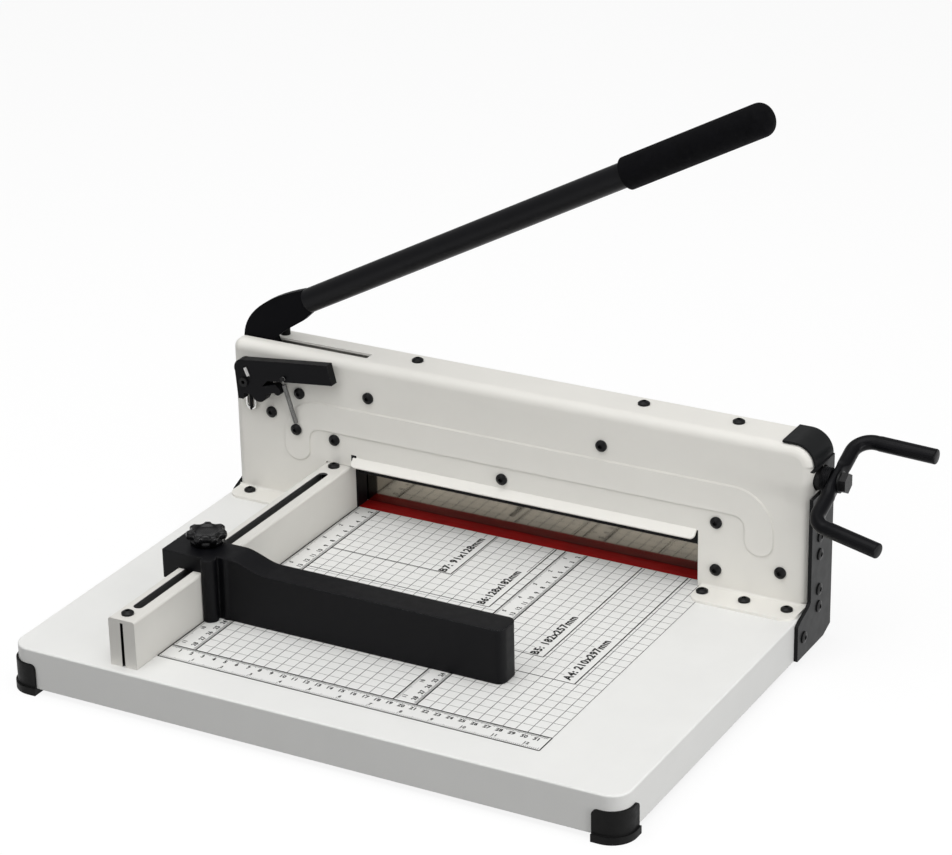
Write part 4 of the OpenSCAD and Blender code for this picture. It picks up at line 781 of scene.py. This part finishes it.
class CUTTER_OT_lock_bar(bpy.types.Operator):
    """Puts the dark round bar between the legs of the lock's loop"""

    bl_idname = "cutter.lock_bar"
    bl_label = "Lock bar"

    set_forward = 0.5 * MM
    into_block = 4 * MM

    def execute(self, context):
        r = context.scene.cutter_sizes.lock_bar / 2
        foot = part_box("lock_loop")[0].z
        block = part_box("lock_block")[0].z
        centre = middle(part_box("lock_loop"))
        # Heights with the bar's radius, from inside the block down to the chamfered end
        rows = (
            (block + self.into_block, r), (block, r), (foot + 3 * MM, r), (foot + 1.2 * MM, r),
            (foot + 0.5 * MM, r * 0.7))
        bm = bmesh.new()
        path = [Vector((centre.x, centre.y - self.set_forward, z)) for z, _ in rows]
        tube(bm, path, [radius for _, radius in rows], sides=20)
        piece("lock_loop_bar", mesh_from(bm, "lock_loop_bar"), "frame", "lock_plastic")
        return {"FINISHED"}


class CUTTER_OT_star_knob(bpy.types.Operator):
    """Moulds the fence's star knob with round lobes and a dished top"""

    bl_idname = "cutter.star_knob"
    bl_label = "Star knob"

    lobes = 7
    points_per_lobe = 28
    outer = 15.9 * MM
    # Scallops between the lobes: distance of their centres, radius, angle of the first, rounding at the lobes
    scallop_away = 18.9 * MM
    scallop_radius = 6.2 * MM
    scallop_first = math.radians(145)
    scallop_soft = 0.9 * MM

    def execute(self, context):
        low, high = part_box("fence_knob")
        stud = middle(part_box("fence_stud"))
        self.centre = Vector((stud.x, stud.y, low.z))
        top = (high.z - low.z) / MM
        count = self.lobes * self.points_per_lobe
        self.turns = [2 * math.pi * k / count for k in range(count)]
        lobed = [min(self.edge(turn), self.outer) for turn in self.turns]
        # Rows in millimetres, from the foot up: radius, or inset from the lobed edge, and height
        collar = ((3.4, 0.0), (12.8, 0.0), (12.8, 4.1))
        insets = (
            (1.4, 4.25), (0.4, 4.6), (0.0, 5.4), (0.0, top - 2.2), (0.25, top - 1.3), (0.8, top - 0.55),
            (1.7, top - 0.12), (2.8, top))
        dish = (
            (9.9, top - 0.05), (9.2, top - 0.5), (8.7, top - 1.3), (7.6, top - 1.7), (4.0, top - 1.5),
            (0.6, top - 1.4))
        bm = bmesh.new()
        rings = [self.ring(bm, [radius * MM] * count, height) for radius, height in collar]
        rings += [self.ring(bm, [r - inset * MM for r in lobed], height) for inset, height in insets]
        rings += [self.ring(bm, [radius * MM] * count, height) for radius, height in dish]
        skin(bm, rings)
        knob = piece("star_knob", mesh_from(bm, "star_knob"), "knob", "knob_plastic")
        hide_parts("fence_knob")
        return {"FINISHED"}

    def ring(self, bm, radii, height):
        return [
            bm.verts.new(self.centre + Vector((math.cos(turn) * r, math.sin(turn) * r, height * MM)))
            for turn, r in zip(self.turns, radii)]

    def edge(self, turn):
        """Radius of the lobed edge at an angle: round scallops cut into a circle, with soft joints."""
        step = 2 * math.pi / self.lobes
        off = (turn - self.scallop_first + step / 2) % step - step / 2
        under = self.scallop_radius ** 2 - (self.scallop_away * math.sin(off)) ** 2
        if under <= 0:
            return self.outer
        cut = self.scallop_away * math.cos(off) - math.sqrt(under)
        share = max(0.0, min(1.0, 0.5 + 0.5 * (self.outer - cut) / self.scallop_soft))
        return self.outer * (1 - share) + cut * share - self.scallop_soft * share * (1 - share)


class CUTTER_OT_crank(bpy.types.Operator):
    """Sweeps the crank's bent rod with its pressed flat at the hub, and ribs the hub"""

    bl_idname = "cutter.crank"
    bl_label = "Crank"

    # Each half in millimetres and degrees: distance of its grip from the hub, reach and lean of the grip
    upper = (46.0, 64.3, -3.0)
    lower = (48.5, 58.3, 14.0)
    tilt = math.radians(22)
    # Points of the straight rod from the hub out, with the last one a little before the bend
    arm_points = (0, 3, 5, 7, 9, 11, 13, 15, 17, 20)
    before_bend = 2
    bend_steps = 14
    # Pressed flat: where it ends, the length of its fade, and how square its section is
    flat_end = 17.5
    flat_fade = 9.0
    squareness = 0.45
    # Coat on the grips, with rows along a grip and rows back from its rounded end
    coat = 0.22
    grip_rows = ((0.04, 0.0), (0.07, coat), (0.5, coat), (0.96, coat))
    end_rows = ((0.9, 0.0), (0.25, 0.35), (0.0, 1.1))
    # Ribbed sleeve: inner and outer radius, height and points of a rib, gaps to the side plate and the rod
    sleeve_bore = 8.7 * MM
    sleeve_radius = 9.1 * MM
    rib_height = 0.75 * MM
    rib_points = 8
    plate_gap = 0.2 * MM
    rod_gap = 0.3 * MM

    def execute(self, context):
        sizes = context.scene.cutter_sizes
        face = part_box("drive_screw")[1].x
        self.centre = middle(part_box("crank_bolt"))
        self.centre.x = face + sizes.crank_flat / 2
        self.rod(sizes)
        self.hub(sizes, face)
        return {"FINISHED"}

    def half(self, sizes, arm, grip, lean):
        """Points of one half from the hub out: along the crank's axis, across it, and the rod's radius."""
        bend, r = sizes.crank_bend / MM, sizes.crank_rod / 2 / MM
        lean = math.radians(lean)
        points = [(0.0, at, r) for at in (*self.arm_points, arm - bend - self.before_bend)]
        for i in range(self.bend_steps + 1):
            a = (math.pi / 2 - lean) * i / self.bend_steps
            points.append((bend - bend * math.cos(a), arm - bend + bend * math.sin(a), r))
        end_x, end_y, _ = points[-1]
        run = grip - end_x
        rows = [(run * share, r + extra) for share, extra in self.grip_rows]
        rows += [(run - back, r + self.coat - less) for back, less in self.end_rows]
        return points + [
            (end_x + math.cos(lean) * along, end_y + math.sin(lean) * along, radius)
            for along, radius in rows]

    def rod(self, sizes):
        lower = [(x, -y, r) for x, y, r in self.half(sizes, *self.lower)]
        path = list(reversed(lower)) + self.half(sizes, *self.upper)[1:]
        bm = bmesh.new()
        rings = []
        for i, (x, y, r) in enumerate(path):
            before, after = path[max(i - 1, 0)], path[min(i + 1, len(path) - 1)]
            ahead = Vector((after[0] - before[0], after[1] - before[1], 0)).normalized()
            rings.append(self.section(bm, sizes, Vector((x, y, 0)), Vector((ahead.y, -ahead.x, 0)), r))
        skin(bm, rings)
        rod = piece("crank_handle", mesh_from(bm, "crank_handle"), "crank", "crank_black")
        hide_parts("crank_rod")

    def section(self, bm, sizes, place, out, r):
        """Ring across the rod: round, or flat and squarish near the hub."""
        sides = 32
        near = max(0.0, min(1.0, (self.flat_end - abs(place.y)) / self.flat_fade)) if place.x == 0.0 else 0.0
        near = near * near * (3 - 2 * near)
        thick = r + (sizes.crank_flat / 2 / MM - r) * near
        wide = r + (sizes.crank_wide / 2 / MM - r) * near
        power = 1.0 - self.squareness * near
        tilted = Matrix.Rotation(self.tilt, 4, "X")
        ring = []
        for k in range(sides):
            a = 2 * math.pi * (k + 0.5) / sides
            across, along = (math.copysign(abs(v) ** power, v) for v in (math.cos(a), math.sin(a)))
            point = place + out * thick * across + Vector((0, 0, wide * along))
            ring.append(bm.verts.new(self.centre + tilted @ (point * MM)))
        return ring

    def hub(self, sizes, face):
        """Ribbed sleeve round the screw's hub."""
        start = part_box("side_plate_right")[1].x + self.plate_gap
        run = face - self.rod_gap - start
        steps = sizes.hub_ribs * self.rib_points
        outline = []
        for i in range(steps + 1):
            wave = math.sin(math.pi * sizes.hub_ribs * i / steps) ** 2
            outline.append((start + run * i / steps, self.sleeve_radius + self.rib_height * wave))
        outline += [(start + run, self.sleeve_bore), (start, self.sleeve_bore)]
        sides = 48
        bm = bmesh.new()
        rings = []
        for k in range(sides):
            a = 2 * math.pi * k / sides
            y, z = math.cos(a), math.sin(a)
            rings.append([
                bm.verts.new((x, self.centre.y + r * y, self.centre.z + r * z)) for x, r in outline])
        skin(bm, rings, closed=True)
        piece("hub_ribs", mesh_from(bm, "hub_ribs"), "crank", "lock_plastic")


# Each lamp: name, property that holds its power, place, target, width and height in metres
LAMPS = (
    ("lamp_over", "key", (-0.05, -0.4, 2.25), (0, 0, 0.1), 2.2, 2.2),
    ("lamp_right", "side", (2.2, -1.0, 1.5), (0, 0, 0.1), 1.6, 1.6),
    ("lamp_front", "front", (-0.9, -2.4, 1.7), (0, 0, 0.1), 1.6, 1.6),
    ("lamp_low", "low", (1.2, -0.15, 0.03), (0, -0.02, 0.02), 1.2, 0.06),
)


class CUTTER_OT_stage(bpy.types.Operator):
    """Sets the floor, the soft lamps and the camera"""

    bl_idname = "cutter.stage"
    bl_label = "Stage"

    floor_half = 9.0
    # Grey of the floor for the light that it throws back, and the glow that keeps its seen white even
    floor_grey = (0.08, 0.08, 0.08)
    floor_white = (1, 1, 1)
    floor_glow = 0.87

    def execute(self, context):
        scene = context.scene
        studio = scene.cutter_studio
        scene.view_settings.view_transform = "Standard"
        self.camera(scene, studio)
        self.floor(scene)
        self.room(scene, studio)
        for name, power, place, target, wide, tall in LAMPS:
            lamp = bpy.data.lights.new(name, "AREA")
            lamp.shape = "RECTANGLE"
            lamp.size = wide
            lamp.size_y = tall
            lamp.energy = getattr(studio, power)
            holder = bpy.data.objects.new(name, lamp)
            holder.location = place
            aim = Vector(target) - holder.location
            holder.rotation_euler = aim.to_track_quat("-Z", "Y").to_euler()
            scene.collection.objects.link(holder)
        return {"FINISHED"}

    def camera(self, scene, studio):
        view = bpy.data.cameras.new("camera")
        view.lens = studio.lens
        view.sensor_width = 36.0
        view.clip_end = 50.0
        holder = bpy.data.objects.new("camera", view)
        back = -Vector(studio.camera_to).normalized()
        right = Vector(studio.camera_up).cross(back).normalized()
        up = back.cross(right)
        turn = Matrix((right, up, back)).transposed().to_4x4()
        holder.matrix_world = Matrix.Translation(Vector(studio.camera_at)) @ turn
        scene.collection.objects.link(holder)
        scene.camera = holder

    def floor(self, scene):
        bm = bmesh.new()
        bmesh.ops.create_grid(bm, x_segments=8, y_segments=8, size=self.floor_half)
        mesh = mesh_from(bm, "floor")
        floor = bpy.data.objects.new("floor", mesh)
        scene.collection.objects.link(floor)
        mesh.materials.append(self.floor_finish())

    def floor_finish(self):
        """White to the camera and in reflections, dark for the light that it throws back."""
        material = bpy.data.materials.new("floor")
        material.use_nodes = True
        tree = material.node_tree
        tree.nodes.clear()
        path = tree.nodes.new("ShaderNodeLightPath").outputs
        seen = reckon(tree, "MAXIMUM", path["Is Camera Ray"], path["Is Glossy Ray"]).outputs[0]
        tone = mixed(tree, seen, self.floor_grey, self.floor_white)
        diffuse = add(tree, "ShaderNodeBsdfDiffuse", Color=tone)
        glow = add(tree, "ShaderNodeEmission")
        share = reckon(tree, "MULTIPLY", seen, self.floor_glow)
        both = tree.nodes.new("ShaderNodeMixShader")
        for socket, node in zip(both.inputs, (share, diffuse, glow)):
            put(tree, socket, node.outputs[0])
        add(tree, "ShaderNodeOutputMaterial", Surface=both.outputs[0])
        return material

    def room(self, scene, studio):
        world = bpy.data.worlds.new("room")
        world.use_nodes = True
        tree = world.node_tree
        seen = add(tree, "ShaderNodeLightPath").outputs["Is Camera Ray"]
        level = add(tree, "ShaderNodeMapRange", Value=seen, To_Min=studio.ambient, To_Max=1.0)
        background = tree.nodes["Background"]
        background.inputs["Color"].default_value = (1, 1, 1, 1)
        put(tree, background.inputs["Strength"], level.outputs[0])
        scene.world = world


class CUTTER_PT_panel(bpy.types.Panel):
    """Lists the steps that dress the cutter"""

    bl_idname = "CUTTER_PT_panel"
    bl_label = "Stack Paper Cutter"
    bl_space_type = "VIEW_3D"
    bl_region_type = "UI"
    bl_category = "Cutter"

    def draw(self, context):
        for step in STEPS:
            self.layout.operator(step.bl_idname)
        for name in GROUPS:
            group = getattr(context.scene, name)
            column = self.layout.column(align=True)
            for key in group.__annotations__:
                column.prop(group, key)


STEPS = (
    CUTTER_OT_stage,
    CUTTER_OT_finishes,
    CUTTER_OT_table_print,
    CUTTER_OT_lock_spring,
    CUTTER_OT_lock_bar,
    CUTTER_OT_star_knob,
    CUTTER_OT_crank,
)
GROUPS = {"cutter_sizes": CutterSizes, "cutter_colours": CutterColours, "cutter_studio": CutterStudio}


def register():
    for made in (*GROUPS.values(), *STEPS, CUTTER_PT_panel):
        bpy.utils.register_class(made)
    for name, group in GROUPS.items():
        setattr(bpy.types.Scene, name, PointerProperty(type=group))


def unregister():
    for name in GROUPS:
        delattr(bpy.types.Scene, name)
    for made in reversed((*GROUPS.values(), *STEPS, CUTTER_PT_panel)):
        bpy.utils.unregister_class(made)


def main():
    register()
    for step in STEPS:
        group, name = step.bl_idname.split(".")
        getattr(getattr(bpy.ops, group), name)()


if __name__ == "__main__":
    main()
